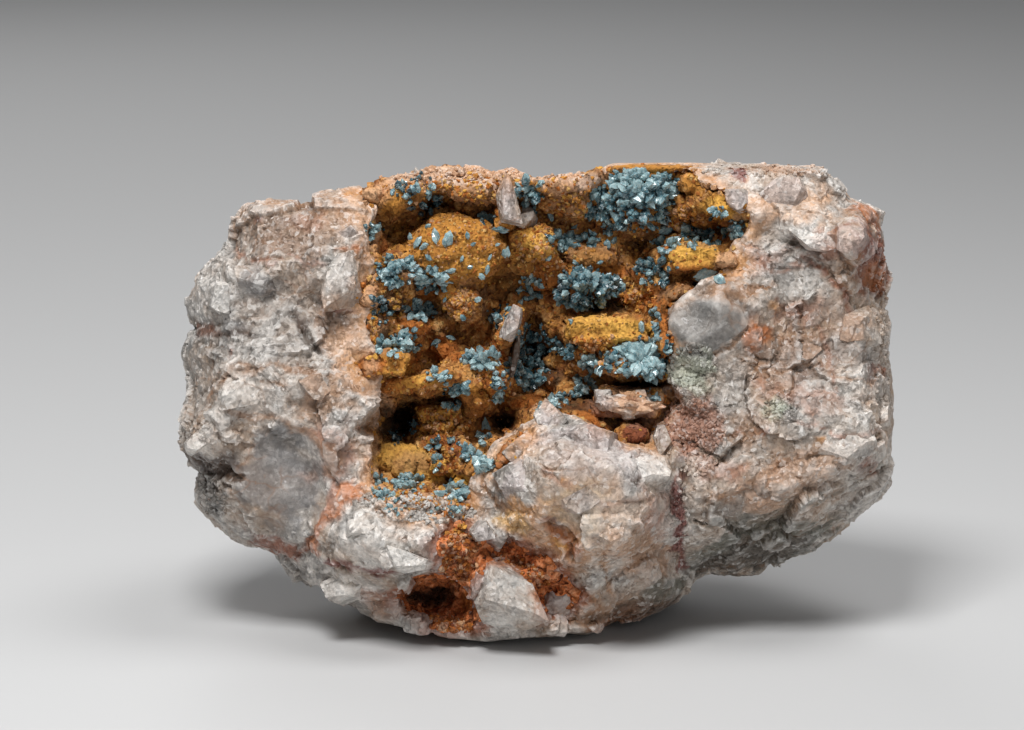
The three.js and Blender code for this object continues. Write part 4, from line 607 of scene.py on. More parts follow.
PIECES = (
    Piece("dome", (-10.3, 49.7), (6.0, 4.2), -4, 4.0, -1.6, OCHRE, ROUND),
    Piece("roof crust left of the blade", (-8.5, 57.0), (3.3, 1.5), -6, 2.0, 0.6, TAN, ROUGH),
    Piece("roof crust at the left", (-13.3, 57.9), (2.5, 1.0), 8, 1.6, 0.5, TAN, ROUGH),
    Piece("smooth brown wall", (-17.1, 56.4), (3.0, 1.5), 24, 1.6, 0.2, OCHRE, ROUND),
    Piece("ochre lump", (0.4, 50.2), (2.5, 2.2), -20, 3.0, 0.2, YELLOW, ROUGH),
    Piece("ochre lump's foot", (1.4, 46.9), (2.2, 1.9), 10, 2.2, 0.3, ORANGE, SLAB),
    Piece("ochre lump's left", (-1.9, 48.1), (1.5, 2.0), 10, 2.0, 0.3, OCHRE, ROUGH),
    Piece("brown slope", (7.0, 48.9), (3.3, 1.1), -4, 1.8, 0.0, TAN, ROUND),
    Piece("brown slope's foot", (9.0, 46.9), (2.5, 0.8), 4, 1.5, 0.0, ORANGE, ROUND),
    Piece("crust above the slope", (4.4, 55.4), (2.5, 1.8), 0, 1.6, 0.2, TAN, ROUGH),
    Piece("upper right shelf", (19.7, 48.5), (3.2, 1.3), 4, 2.2, 1.0, YELLOW, SLAB),
    Piece("shelf's lower edge", (18.7, 47.5), (2.3, 0.6), 0, 1.6, 1.0, ORANGE, ROUGH),
    Piece("ochre corner", (22.9, 54.7), (1.8, 1.0), -14, 2.0, 0.6, YELLOW, ROUGH),
    Piece("ochre rim", (19.4, 57.9), (1.5, 1.3), 0, 1.8, 0.4, OCHRE, ROUGH),
    Piece("boxwork rod", (18.3, 51.4), (1.5, 0.4), 30, 1.0, 0.8, ORANGE, SLAB),
    Piece("second boxwork rod", (17.7, 53.0), (1.3, 0.4), -30, 1.0, 0.8, TAN, SLAB),
    Piece("third boxwork rod", (16.6, 50.2), (1.1, 0.4), 60, 1.0, 0.8, ORANGE, SLAB),
    Piece("spongy nodule", (-9.7, 43.1), (2.5, 2.2), 0, 2.2, 0.6, TAN, ROUGH),
    Piece("nodule's rim", (-11.2, 44.3), (1.5, 0.9), 40, 2.2, 0.9, OCHRE, ROUGH),
    Piece("ribs", (12.3, 43.8), (1.7, 0.6), 8, 1.4, 0.6, ORANGE, ROUGH),
    Piece("second rib", (10.8, 45.0), (1.3, 0.5), 20, 1.2, 0.5, TAN, ROUGH),
    Piece("third rib", (14.6, 42.8), (1.1, 0.5), -10, 1.2, 0.5, ORANGE, ROUGH),
    Piece("yellow shelf", (8.9, 39.5), (5.1, 1.5), 2, 2.6, 0.6, YELLOW, SLAB),
    Piece("yellow shelf's lumps", (7.0, 37.6), (1.8, 1.0), 0, 2.0, 0.9, ORANGE, ROUGH),
    Piece("yellow shelf's left end", (5.1, 39.2), (1.5, 1.1), 20, 1.8, 0.5, OCHRE, ROUGH),
    Piece("fan's rock", (11.8, 34.9), (4.3, 1.1), 0, 2.2, 1.2, PEACH, ROUGH),
    Piece("roof of the slot", (13.1, 33.9), (3.8, 0.5), 0, 2.0, 1.6, TAN, SLAB),
    Piece("orange wedge", (-18.2, 35.3), (1.9, 1.5), -16, 2.2, 0.9, YELLOW, SLAB),
    Piece("ochre bar", (-14.9, 32.8), (5.6, 0.9), 12, 2.2, 1.4, OCHRE, SLAB),
    Piece("ochre bar's left end", (-18.4, 32.3), (2.3, 1.0), 14, 2.2, 1.2, ORANGE, ROUGH),
    Piece("orange lump", (-11.4, 37.0), (1.9, 1.4), 0, 2.0, 0.4, ORANGE, ROUGH),
    Piece("orange slope", (-5.7, 34.2), (1.3, 3.8), 4, 2.0, 0.3, ORANGE, ROUGH),
    Piece("slope's foot", (-7.5, 30.9), (1.9, 1.5), -30, 2.0, 0.4, OCHRE, ROUGH),
    Piece("brown lump", (1.8, 33.3), (1.7, 1.1), 0, 1.8, 0.8, UMBER, ROUGH),
    Piece("orange knob by the pillar", (-2.0, 30.4), (1.8, 0.8), 10, 1.6, 0.5, ORANGE, ROUGH),
    Piece("small shelf", (-12.3, 28.8), (2.8, 0.8), 4, 2.4, 1.4, YELLOW, SLAB),
    Piece("small shelf's lower lip", (-12.7, 27.2), (2.8, 0.6), 4, 2.4, 1.2, OCHRE, ROUGH),
    Piece("rubble under the shelf", (-12.3, 25.5), (2.0, 1.0), 0, 2.0, 0.6, ORANGE, ROUGH),
    Piece("red knobs", (-12.2, 22.1), (1.1, 0.9), 0, 1.6, 0.6, RUST, ROUGH),
    Piece("second red knobs", (-10.4, 24.3), (1.0, 0.8), 0, 1.6, 0.6, RUST, ROUGH),
    Piece("floor", (-16.9, 22.7), (3.8, 2.2), -16, 1.0, -0.5, YELLOW, ROUND),
    Piece("yellow rubble", (-9.4, 20.2), (1.5, 0.8), 0, 1.4, 0.4, YELLOW, ROUGH),
    Piece("peach rubble", (-14.9, 17.9), (3.0, 0.9), -10, 1.6, 0.3, PEACH, ROUGH),
    Piece("peach rubble's right", (-10.8, 17.1), (2.0, 0.9), 0, 1.6, 0.3, PEACH, ROUGH),
    Piece("peach rubble's left", (-19.4, 18.9), (1.8, 0.8), -20, 1.4, 0.3, PEACH, ROUGH),
    Piece("left bank rock", (-17.4, 46.5), (2.3, 1.5), 0, 2.0, 0.2, TAN, ROUGH),
    Piece("rock below the left bank", (-18.4, 43.3), (1.5, 1.3), 0, 1.8, 0.2, UMBER, ROUGH),
    Piece("rock under the dome", (-13.8, 44.6), (1.8, 0.9), 10, 1.6, 0.2, ORANGE, ROUGH),
    Piece("orange rock at the left", (-15.5, 40.1), (2.0, 0.9), -10, 1.6, 0.5, ORANGE, ROUGH),
    Piece("rock left of the wedge", (-19.9, 37.6), (1.1, 1.3), 0, 1.6, 0.2, TAN, ROUGH),
    Piece("pink ledge", (11.4, 30.4), (4.1, 1.8), -3, 2.6, 1.7, PEACH, SLAB),
    Piece("pink ledge's end", (8.3, 30.2), (1.5, 1.5), 0, 2.6, 1.7, PINK, ROUND),
    Piece("pink ledge's crust", (11.8, 31.0), (1.9, 0.9), 0, 2.2, 1.0, PEACH, ROUGH),
    Piece("dark knob", (11.7, 26.3), (1.9, 1.1), 0, 2.0, 1.2, RED, ROUND),
    Piece("rim at the top left", (-20.7, 56.5), (1.4, 1.1), 0, 1.5, 0.4, PEACH, ROUGH),
    Piece("rim by the brown wall", (-21.5, 52.2), (1.3, 1.5), 0, 1.5, -0.1, TAN, ROUGH),
    Piece("rim by the left bank", (-20.3, 47.9), (1.0, 1.3), 0, 1.5, 0.0, OCHRE, ROUGH),
    Piece("rim below the left bank", (-21.1, 43.6), (1.3, 1.5), 0, 1.5, -0.1, PEACH, ROUGH),
    Piece("rim above the wedge", (-20.1, 39.6), (1.3, 1.7), 0, 1.5, -0.3, TAN, ROUGH),
    Piece("rim by the wedge", (-20.8, 34.9), (1.3, 1.3), 0, 1.5, -0.2, ORANGE, ROUGH),
    Piece("rim by the cave", (-19.2, 30.0), (0.9, 1.3), 0, 1.5, -0.5, PEACH, ROUGH),
    Piece("rim by the floor", (-21.0, 24.9), (1.0, 1.7), 0, 1.5, 0.2, TAN, ROUGH),
    Piece("rim at the rubble", (-21.2, 21.0), (1.3, 1.1), 0, 1.5, 0.3, PEACH, ROUGH),
    Piece("orange strip by the grey lens", (15.9, 39.2), (0.6, 4.1), 0, 1.5, 0.8, ORANGE, ROUGH),
    Piece("rim above the grey lens", (17.9, 44.3), (1.8, 0.8), 20, 1.4, 0.4, TAN, ROUGH),
    Piece("top crust at the left", (-17.1, 58.3), (3.3, 0.9), 10, 1.5, 0.5, PEACH, ROUGH),
    Piece("top crust", (-12.1, 59.2), (3.3, 0.9), 4, 1.5, 0.5, PEACH, ROUGH),
    Piece("top crust right of the blade", (1.9, 57.8), (3.3, 1.0), -8, 1.5, 0.5, PEACH, ROUGH),
    Piece("top crust before the step", (7.0, 58.5), (2.0, 1.0), 24, 1.5, 0.5, TAN, ROUGH),
    Piece("ochre top", (14.4, 60.1), (5.1, 0.6), 0, 1.5, 0.3, OCHRE, ROUGH),
    Piece("rim under the ochre corner", (25.5, 51.9), (1.1, 1.4), 20, 1.4, 0.3, TAN, ROUGH),
    Piece("rim by the upper right shelf", (23.5, 48.1), (1.3, 1.1), 0, 1.4, 0.3, PEACH, ROUGH),
    Piece("crust on the boulder's peak", (1.4, 28.8), (1.5, 1.1), 0, 1.4, 0.2, PEACH, ROUGH),
    Piece("orange notch", (6.5, 28.1), (2.2, 0.8), -30, 1.4, 0.3, ORANGE, ROUGH),
    Piece("crust left of the boulder", (-3.7, 24.0), (2.5, 0.9), 48, 1.4, 0.2, ORANGE, ROUGH),
)

QUARTZ_PIECES = (
    Piece("blade", (-3.7, 55.4), (1.3, 3.3), 10, 1.9, 1.8, LILAC, CHIP),
    Piece("chip beside the blade", (-1.3, 53.8), (1.3, 1.5), -20, 1.6, 1.8, WHITE, CHIP),
    Piece("pillar's top", (-3.2, 40.3), (1.1, 2.2), -24, 1.9, 2.2, LILAC, CHIP),
    Piece("pillar's edge", (-2.9, 35.9), (0.5, 3.6), -10, 1.8, 1.4, UMBER, CHIP),
    Piece("chip by the knob", (15.7, 25.5), (1.1, 2.0), 5, 1.6, 0.7, LILAC, CHIP),
    Piece("second chip by the knob", (17.4, 23.5), (1.0, 1.3), 20, 1.3, 0.4, LILAC, CHIP),
    Piece("wedge", (-4.1, 6.0), (3.8, 4.8), 24, 3.4, -2.75, WHITE, CHIP),
    Piece("right of the wedge", (2.7, 5.2), (3.0, 2.8), 20, 2.6, -1.9, LILAC, CHIP),
    Piece("grey stone", (-7.0, 14.2), (1.7, 1.4), 0, 1.8, 0.4, LILAC, CHIP),
    Piece("grey chunk", (-24.8, 45.5), (2.4, 3.4), 10, 2.4, -1.5, WHITE, CHIP),
    Piece("lilac facet", (-23.7, 51.4), (1.7, 1.5), 20, 1.6, -0.9, LILAC, CHIP),
    Piece("block's facet", (-20.7, 14.9), (3.6, 2.4), -15, 2.6, -1.8, WHITE, CHIP),
    Piece("block's lower facet", (-16.8, 10.5), (2.8, 1.4), -20, 2.2, -1.5, WHITE, CHIP),
    Piece("boulder's crest", (6.0, 25.5), (4.1, 2.2), -20, 2.8, -2.1, LILAC, CHIP),
    Piece("boulder's peak", (1.4, 28.1), (1.9, 2.2), -34, 2.0, -1.15, LILAC, CHIP),
    Piece("boulder's left shoulder", (-2.0, 25.0), (2.3, 1.3), 48, 2.0, -1.2, PEACH, CHIP),
    Piece("boulder's lavender facet", (5.1, 18.2), (2.5, 1.8), 10, 2.0, -1.3, LILAC, CHIP),
    Piece("boulder's left facet", (-1.9, 21.0), (3.0, 2.3), 30, 2.2, -1.5, LILAC, CHIP),
    Piece("boulder's right facet", (13.1, 22.0), (3.3, 2.0), -15, 2.2, -1.5, WHITE, CHIP),
    Piece("boulder's front", (9.5, 14.1), (2.0, 1.5), 35, 2.4, -2.1, BEIGE, CHIP),
    Piece("left foot", (-23.5, 7.2), (3.4, 2.0), 26, 2.4, -1.6, WHITE, CHIP),
    Piece("grey chunk at the left", (-34.9, 45.2), (2.9, 2.3), 0, 2.2, -1.5, GREY, CHIP),
    Piece("white chunk at the edge", (-39.5, 43.1), (1.8, 2.3), -14, 2.2, -1.4, WHITE, CHIP),
    Piece("pale chunk", (-36.4, 32.5), (3.4, 2.5), 10, 2.4, -1.6, WHITE, CHIP),
    Piece("second pale chunk", (-27.8, 32.6), (2.4, 1.8), -10, 2.0, -1.4, BEIGE, CHIP),
    Piece("top right chunk", (30.6, 56.3), (3.6, 2.4), -10, 2.6, -1.8, LILAC, CHIP),
    Piece("upper right chunk", (34.9, 51.2), (3.6, 2.3), -20, 2.6, -2.1, WHITE, CHIP),
    Piece("bench chunk", (25.3, 55.5), (1.8, 1.5), 0, 1.8, -1.1, LILAC, CHIP),
    Piece("right chunk", (39.8, 39.2), (3.0, 2.5), 20, 2.4, -1.9, BEIGE, CHIP),
    Piece("right middle chunk", (33.4, 37.0), (2.8, 2.0), 20, 2.2, -1.5, BEIGE, CHIP),
    Piece("low right chunk", (38.5, 25.5), (3.8, 2.3), 15, 2.4, -1.6, WHITE, CHIP),
    Piece("ridge chunk", (28.3, 18.2), (4.1, 1.8), 16, 2.2, -1.5, BEIGE, CHIP),
    Piece("right edge chunk", (43.6, 28.1), (1.5, 2.5), 0, 2.2, -1.5, WHITE, CHIP),
    Piece("lip chunk", (-42.5, 25.5), (2.2, 1.3), 30, 2.0, -1.0, WHITE, CHIP),
    Piece("ledge's skin", (11.6, 30.1), (4.3, 1.8), -3, 1.7, -0.3, PEACH, ROUGH),
    Piece("ledge's grey end", (8.5, 30.4), (1.3, 1.5), 0, 1.6, 0.3, LILAC, CHIP),
)

SUGAR = (
    Sprinkle("corner knob", (-41.3, 18.2), (2.0, 2.5), 0, 120, 0.3),
    Sprinkle("lip", (-43.3, 26.0), (2.8, 1.8), 30, 90, 0.3),
    Sprinkle("top crust", (-7.2, 59.1), (14.0, 0.8), 0, 220, 0.3),
    Sprinkle("top right edge", (28.3, 59.6), (10.2, 0.9), 0, 160, 0.28),
    Sprinkle("grey-green crumbs", (19.4, 34.5), (3.0, 3.3), 0, 520, 0.36),
    Sprinkle("red crumbs", (19.7, 26.5), (3.8, 5.3), 0, 520, 0.32),
    Sprinkle("green crumbs", (30.2, 29.6), (2.0, 1.8), 0, 120, 0.3),
    Sprinkle("rubble rim", (-15.4, 17.3), (7.6, 1.7), -6, 420, 0.34),
    Sprinkle("right edge", (43.6, 39.5), (1.3, 11.4), 0, 120, 0.3),
    Sprinkle("crack's edge", (17.7, 15.4), (1.1, 5.8), 0, 110, 0.28),
)

CRUMBS = (
    Sprinkle("rim at the top right", (21.0, 58.5), (3.0, 1.1), -35, 120, 0.34),
    Sprinkle("rim at the left", (-20.8, 38.5), (0.9, 3.0), 0, 80, 0.34),
    Sprinkle("rust beside the cavity", (-9.7, 11.6), (2.5, 4.3), -6, 260, 0.3),
    Sprinkle("rust crack", (-2.2, 9.5), (4.3, 1.3), -24, 160, 0.28),
    Sprinkle("cavity's crust", (-10.8, 2.4), (4.3, 0.9), -6, 160, 0.3),
    Sprinkle("pocket", (0.4, 40.8), (21.6, 19.1), 0, 900, 0.24),
    Sprinkle("upper pocket", (2.9, 53.5), (21.6, 6.3), 0, 500, 0.24),
    Sprinkle("dome", (-10.2, 49.7), (5.8, 4.1), 0, 260, 0.16),
    Sprinkle("boxwork", (18.7, 52.7), (2.0, 2.5), 0, 220, 0.3),
    Sprinkle("ribs", (12.6, 43.8), (2.5, 1.8), 0, 160, 0.28),
    Sprinkle("nodule", (-9.7, 42.9), (2.3, 1.9), 0, 160, 0.26),
    Sprinkle("ochre lump", (0.4, 49.4), (3.3, 3.6), 0, 180, 0.24),
    Sprinkle("roof crust", (-8.5, 57.3), (11.4, 1.5), 0, 240, 0.26),
    Sprinkle("crust over the slope", (4.8, 55.4), (3.0, 1.8), 0, 100, 0.28),
    Sprinkle("orange slope", (-5.7, 34.2), (2.0, 4.1), 0, 160, 0.26),
    Sprinkle("small shelf", (-12.3, 27.4), (3.8, 2.3), 0, 200, 0.26),
    Sprinkle("red knobs", (-11.6, 23.2), (2.3, 1.8), 0, 140, 0.28),
    Sprinkle("rubble", (-13.6, 18.2), (6.6, 1.8), -6, 240, 0.3),
    Sprinkle("left bank", (-17.9, 44.6), (2.5, 5.1), 0, 160, 0.26),
    Sprinkle("wedge and bar", (-16.1, 33.8), (5.1, 2.5), 0, 120, 0.2),
    Sprinkle("shelf's lumps", (7.0, 37.5), (3.0, 1.5), 0, 110, 0.28),
    Sprinkle("fan's rock", (11.8, 34.7), (4.6, 1.0), 0, 110, 0.28),
)

CLUSTERS = (
    Cluster("pocket's left edge", (-20.6, 51.9), (1.0, 1.0), 4, 1.9, 0.5, 0.5),
    Cluster("upper left bank", (-17.7, 47.0), (2.5, 1.9), 26, 1.9, 0.5, 0.8),
    Cluster("dome's left foot", (-13.2, 45.7), (2.0, 1.5), 16, 2.1, 0.8, 0.9),
    Cluster("row below the foot", (-15.0, 41.9), (2.4, 1.1), 18, 1.8, 0.65, 0.7),
    Cluster("dark left bank", (-19.7, 41.8), (1.1, 1.9), 10, 1.5, 0.25, 0.6),
    Cluster("lower left bank", (-17.7, 37.6), (2.4, 1.4), 18, 1.9, 0.7, 0.8),
    # Painted shade: the low tone of these crystals stands for the roof's shadow.
    Cluster("roof shadow", (-14.4, 56.4), (2.2, 2.2), 16, 1.6, 0.15, 0.6),
    Cluster("wall above the dome", (-16.9, 57.0), (1.5, 1.0), 7, 1.5, 0.3, 0.5),
    Cluster("blade's left", (-6.3, 53.8), (1.0, 0.8), 4, 2.2, 0.6, 0.4),
    Cluster("top block", (-1.0, 57.1), (1.8, 1.3), 12, 2.1, 0.55, 0.9),
    Cluster("below the top block", (-0.9, 54.7), (0.9, 0.9), 7, 1.7, 0.45, 0.6),
    Cluster("ochre lump's right", (3.3, 50.9), (1.7, 1.1), 12, 2.1, 0.6, 0.8),
    Cluster("middle pair", (6.7, 51.2), (1.1, 1.0), 6, 2.0, 0.5, 0.6),
    Cluster("blue bank's left", (8.0, 55.6), (1.9, 1.9), 26, 1.9, 0.5, 0.7),
    Cluster("blue bank's crown", (12.1, 57.4), (2.8, 2.2), 40, 2.4, 0.75, 1.0),
    Cluster("blue bank's right crown", (15.6, 57.0), (1.5, 1.7), 18, 2.4, 0.7, 0.9),
    Cluster("blue bank's foot", (13.1, 54.0), (3.6, 1.8), 32, 1.9, 0.3, 0.7),
    Cluster("blue bank's left foot", (9.9, 52.8), (1.5, 1.0), 9, 1.8, 0.45, 0.6),
    Cluster("right end of the bank", (16.6, 57.9), (1.1, 1.5), 9, 1.8, 0.5, 0.5),
    Cluster("boxwork's blue", (19.4, 51.4), (1.0, 1.7), 12, 1.9, 0.6, 0.6),
    Cluster("boxwork's second blue", (22.1, 50.9), (0.9, 1.4), 9, 1.8, 0.5, 0.6),
    Cluster("corner's blue", (22.5, 54.0), (0.8, 0.8), 4, 1.6, 0.5, 0.5),
    Cluster("bench blue", (24.5, 52.2), (1.4, 1.0), 9, 1.8, 0.6, 0.6),
    Cluster("shelf's left end", (16.1, 50.2), (1.5, 1.0), 11, 1.9, 0.8, 0.8),
    # Painted shade: the low tone of these crystals stands for the shelf's shadow.
    Cluster("shelf's shadow", (15.1, 46.9), (2.4, 1.7), 20, 1.8, 0.25, 0.7),
    Cluster("radiating cluster", (5.8, 44.8), (3.6, 2.3), 66, 1.8, 0.3, 1.3),
    Cluster("radiating cluster's right", (9.5, 45.2), (1.1, 1.1), 6, 2.2, 0.5, 0.8),
    Cluster("left of the radiating cluster", (-0.9, 44.6), (1.3, 1.8), 13, 2.0, 0.75, 0.7),
    Cluster("below the nodule", (-4.7, 41.4), (1.7, 1.3), 9, 1.6, 0.4, 0.6),
    Cluster("druse beside the pillar", (-0.8, 38.1), (2.3, 2.0), 26, 1.8, 0.3, 0.9),
    Cluster("druse's right", (2.3, 37.6), (1.1, 1.1), 9, 1.6, 0.35, 0.7),
    Cluster("druse at the shelf", (4.4, 36.7), (1.1, 0.9), 7, 1.6, 0.45, 0.6),
    Cluster("lower druse", (-1.4, 34.3), (2.5, 2.3), 34, 1.9, 0.35, 1.0),
    Cluster("shelf's front row", (8.0, 35.4), (2.3, 1.1), 17, 1.8, 0.55, 0.8),
    Cluster("bright fan", (12.7, 36.3), (1.8, 1.7), 34, 2.7, 0.9, 1.4),
    Cluster("fan's foot", (13.1, 34.3), (3.0, 0.8), 18, 1.8, 0.8, 0.8),
    Cluster("fan's right", (15.0, 34.8), (1.3, 1.1), 9, 1.7, 0.6, 0.6),
    Cluster("shelf's right end", (15.6, 37.6), (0.9, 1.3), 6, 1.5, 0.5, 0.5),
    Cluster("upright row", (15.0, 40.5), (0.6, 1.7), 6, 1.6, 0.5, 0.4),
    Cluster("bright bank", (-7.0, 35.7), (2.0, 1.1), 16, 2.1, 0.95, 1.0),
    Cluster("below the bright bank", (-5.2, 32.3), (1.1, 1.8), 11, 1.7, 0.7, 0.7),
    Cluster("pale bar crystals", (-12.3, 33.7), (1.4, 0.8), 9, 1.4, 0.9, 0.6),
    Cluster("bar's right end", (-10.2, 32.0), (1.8, 0.8), 10, 1.8, 0.7, 0.7),
    Cluster("under the bar", (-10.8, 30.0), (1.7, 0.5), 6, 1.5, 0.5, 0.5),
    Cluster("cave's blue", (-18.0, 26.0), (1.0, 1.0), 5, 1.4, 0.2, 0.5),
    Cluster("cave's pale", (-15.9, 27.3), (1.0, 0.8), 4, 1.4, 0.5, 0.5),
    Cluster("upright spindle's foot", (-6.5, 25.9), (0.8, 0.8), 5, 1.6, 0.6, 0.6),
    Cluster("row over the floor", (-12.3, 25.0), (2.0, 0.8), 8, 1.6, 0.6, 0.6),
    Cluster("floor's right", (-8.5, 24.0), (1.0, 0.9), 6, 1.8, 0.6, 0.6),
    Cluster("bright knot", (-6.7, 22.6), (1.3, 1.0), 11, 2.0, 0.95, 1.0),
    Cluster("pale knot", (-13.0, 22.7), (1.1, 0.9), 5, 1.6, 0.8, 0.6),
    Cluster("rubble's left", (-16.0, 20.2), (2.0, 1.1), 15, 1.8, 0.7, 0.8),
    Cluster("band in the rubble", (-18.7, 18.8), (2.3, 0.8), 10, 1.4, 0.75, 0.5),
    Cluster("rubble's middle", (-10.4, 19.1), (1.3, 1.1), 11, 1.9, 0.7, 0.8),
    Cluster("rubble's foot", (-11.4, 16.8), (2.0, 0.6), 9, 1.3, 0.8, 0.5),
    Cluster("rubble's left foot", (-17.1, 17.1), (1.8, 0.5), 5, 1.2, 0.8, 0.4),
    Cluster("left of the floor", (-19.9, 20.1), (0.9, 0.9), 4, 1.4, 0.6, 0.5),
    Cluster("boulder's peak", (1.8, 30.2), (0.9, 0.8), 6, 1.7, 0.9, 0.8),
    Cluster("notch", (1.1, 29.6), (1.0, 0.9), 6, 1.7, 0.85, 0.8),
    Cluster("ledge's corner", (5.8, 32.4), (1.7, 1.3), 13, 1.7, 0.85, 0.8),
    Cluster("ledge's left", (3.6, 31.0), (1.8, 0.8), 7, 1.4, 0.6, 0.5),
    Cluster("ledge's end", (14.1, 31.0), (1.3, 0.9), 6, 1.1, 0.7, 0.4),
)

SINGLES = (
    Single((-15.1, 50.5), 1.9, 1.0, 60, 0.9),
    Single((-16.0, 51.1), 1.4, 0.8, 110, 0.8),
    Single((-14.2, 50.0), 1.3, 0.8, 20, 0.8),
    Single((-12.8, 51.2), 2.4, 1.3, 100, 0.95),
    Single((-11.2, 50.9), 2.3, 1.4, 75, 0.95),
    Single((-13.8, 52.5), 1.1, 0.8, 40, 0.7),
    Single((-8.8, 51.3), 1.1, 0.8, 100, 0.8),
    Single((-8.1, 50.2), 1.0, 0.6, 30, 0.7),
    Single((-13.6, 48.6), 1.3, 0.8, 150, 0.7),
    Single((-9.5, 48.4), 1.0, 0.6, 70, 0.7),
    Single((-10.8, 46.9), 1.3, 0.8, 20, 0.75),
    Single((-6.3, 47.1), 1.3, 0.8, 90, 0.7),
    Single((-8.5, 47.4), 0.9, 0.6, 0, 0.6),
    Single((-6.0, 48.6), 1.1, 0.6, 60, 0.7),
    Single((-7.0, 46.2), 1.1, 0.8, 130, 0.7),
    Single((-3.9, 49.3), 1.7, 1.1, 80, 0.85),
    Single((-5.1, 50.2), 1.0, 0.6, 20, 0.7),
    Single((-12.8, 38.0), 1.8, 1.0, 30, 0.7),
    Single((-11.0, 38.5), 1.5, 0.9, 160, 0.7),
    Single((-12.7, 37.6), 1.1, 0.8, 80, 0.6),
    Single((-4.7, 52.1), 2.5, 0.9, 5, 0.5),
    Single((9.0, 50.4), 1.5, 0.9, 100, 0.6),
    Single((9.8, 50.9), 1.4, 0.8, 60, 0.6),
    Single((16.3, 52.3), 2.8, 1.1, 5, 0.7),
    Single((21.1, 46.4), 3.3, 1.8, 12, 0.9),
    Single((22.7, 45.7), 1.8, 1.1, 150, 0.8),
    Single((10.7, 44.5), 2.3, 1.0, 60, 0.6),
    Single((-6.6, 27.1), 2.8, 1.0, 92, 0.95),
    Single((-12.3, 18.8), 2.2, 0.9, 10, 0.8),
    Single((1.0, 35.1), 1.5, 0.9, 120, 0.6),
    Single((2.9, 43.1), 1.5, 0.9, 60, 0.7),
    Single((4.4, 40.5), 1.3, 0.8, 140, 0.6),
    Single((13.1, 39.8), 1.8, 0.9, 100, 0.8),
    Single((-2.2, 42.9), 1.5, 0.9, 60, 0.7),
    Single((-7.5, 43.3), 1.1, 0.8, 20, 0.6),
    Single((-9.4, 41.0), 1.1, 0.8, 120, 0.6),
    Single((-11.7, 43.3), 1.0, 0.6, 60, 0.6),
    Single((-15.5, 39.5), 1.1, 0.8, 30, 0.6),
    Single((1.7, 54.1), 1.3, 0.8, 100, 0.6),
    Single((4.8, 52.8), 1.1, 0.8, 40, 0.5),
    Single((5.0, 48.1), 1.3, 0.8, 140, 0.5),
    Single((1.4, 48.6), 1.1, 0.8, 60, 0.7),
    Single((8.0, 48.1), 1.0, 0.6, 20, 0.5),
)


def ease(x: np.ndarray, low: float, high: float) -> np.ndarray:
    """A smooth step from 0 at low to 1 at high."""
    t = np.clip((x - low) / (high - low), 0.0, 1.0)
    return t * t * (3.0 - 2.0 * t)


def line_distance(places: np.ndarray, line: tuple[Pair, ...]) -> np.ndarray:
    """Distance from each place to a line, over the face.

    Args:
        places: face places.
        line: the line's own places.

    Returns:
        Distances in millimetres.
    """
    best = np.full(len(places), np.inf)
    for a, b in zip(line, line[1:]):
        start = np.array(a)
        run = np.array(b) - start
        t = np.clip((places[:, :2] - start) @ run / (run @ run), 0.0, 1.0)
        gap = places[:, :2] - start - t[:, None] * run
        best = np.minimum(best, np.hypot(gap[:, 0], gap[:, 1]))
    return best


def hashed(cells: np.ndarray, seed: int) -> np.ndarray:
    """Three random numbers for each whole-numbered cell.

    Args:
        cells: the cells.
        seed: picks the numbers.

    Returns:
        Numbers from 0 to 1.
    """
    c = cells.astype(np.int64).astype(np.uint32)
    out = np.empty((len(c), 3))
    for axis in range(3):
        h = c[:, 0] * np.uint32(73856093) ^ c[:, 1] * np.uint32(19349663) ^ c[:, 2] * np.uint32(83492791)
        h = h ^ np.uint32(seed * 2654435 + axis * 97531)
        h = (h ^ (h >> np.uint32(16))) * np.uint32(0x7FEB352D)
        h = (h ^ (h >> np.uint32(15))) * np.uint32(0x846CA68B)
        out[:, axis] = (h ^ (h >> np.uint32(16))) / 4294967296.0
    return out


def soft_noise(places: np.ndarray, size: float, seed: int) -> np.ndarray:
    """Smooth noise.

    Args:
        places: where it is wanted.
        size: the size of its lumps.
        seed: picks the pattern.

    Returns:
        Heights from -1 to 1.
    """
    p = places / size
    base = np.floor(p)
    f = p - base
    f = f * f * (3.0 - 2.0 * f)
    total = np.zeros(len(p))
    for corner in np.ndindex(2, 2, 2):
        weight = np.prod(np.where(np.array(corner), f, 1.0 - f), axis=1)
        total += weight * hashed(base + corner, seed)[:, 0]
    return 2.0 * total - 1.0


def rough_noise(places: np.ndarray, size: float, seed: int, layers: int = 4) -> np.ndarray:
    """Layers of smooth noise, each half the size and half the height of the one before."""
    total = np.zeros(len(places))
    for layer in range(layers):
        total += soft_noise(places, size / 2**layer, seed + layer) / 2**layer
    return total


def chips(places: np.ndarray, size: float, seed: int, tilt: float = 1.0) -> np.ndarray:
    """Heights of a surface broken into tilted facets.

    Args:
        places: where the height is wanted.
        size: the facets' size.
        seed: picks the pattern.
        tilt: how far the facets tilt.

    Returns:
        Heights from about -1 to 1.
    """
    p = places / size
    base = np.floor(p)
    best = np.full(len(p), -np.inf)
    height = np.zeros(len(p))
    for step in np.ndindex(3, 3, 3):
        cell = base + np.array(step) - 1
        gap = p - cell - hashed(cell, seed)
        facing = 2.0 * hashed(cell, seed + 11) - 1.0
        plane = tilt * np.sum(gap * facing, axis=1) + 0.8 * (hashed(cell, seed + 23)[:, 0] - 0.5)
        score = plane - 1.6 * np.sum(gap * gap, axis=1)
        wins = score > best
        best = np.where(wins, score, best)
        height = np.where(wins, plane, height)
    return height


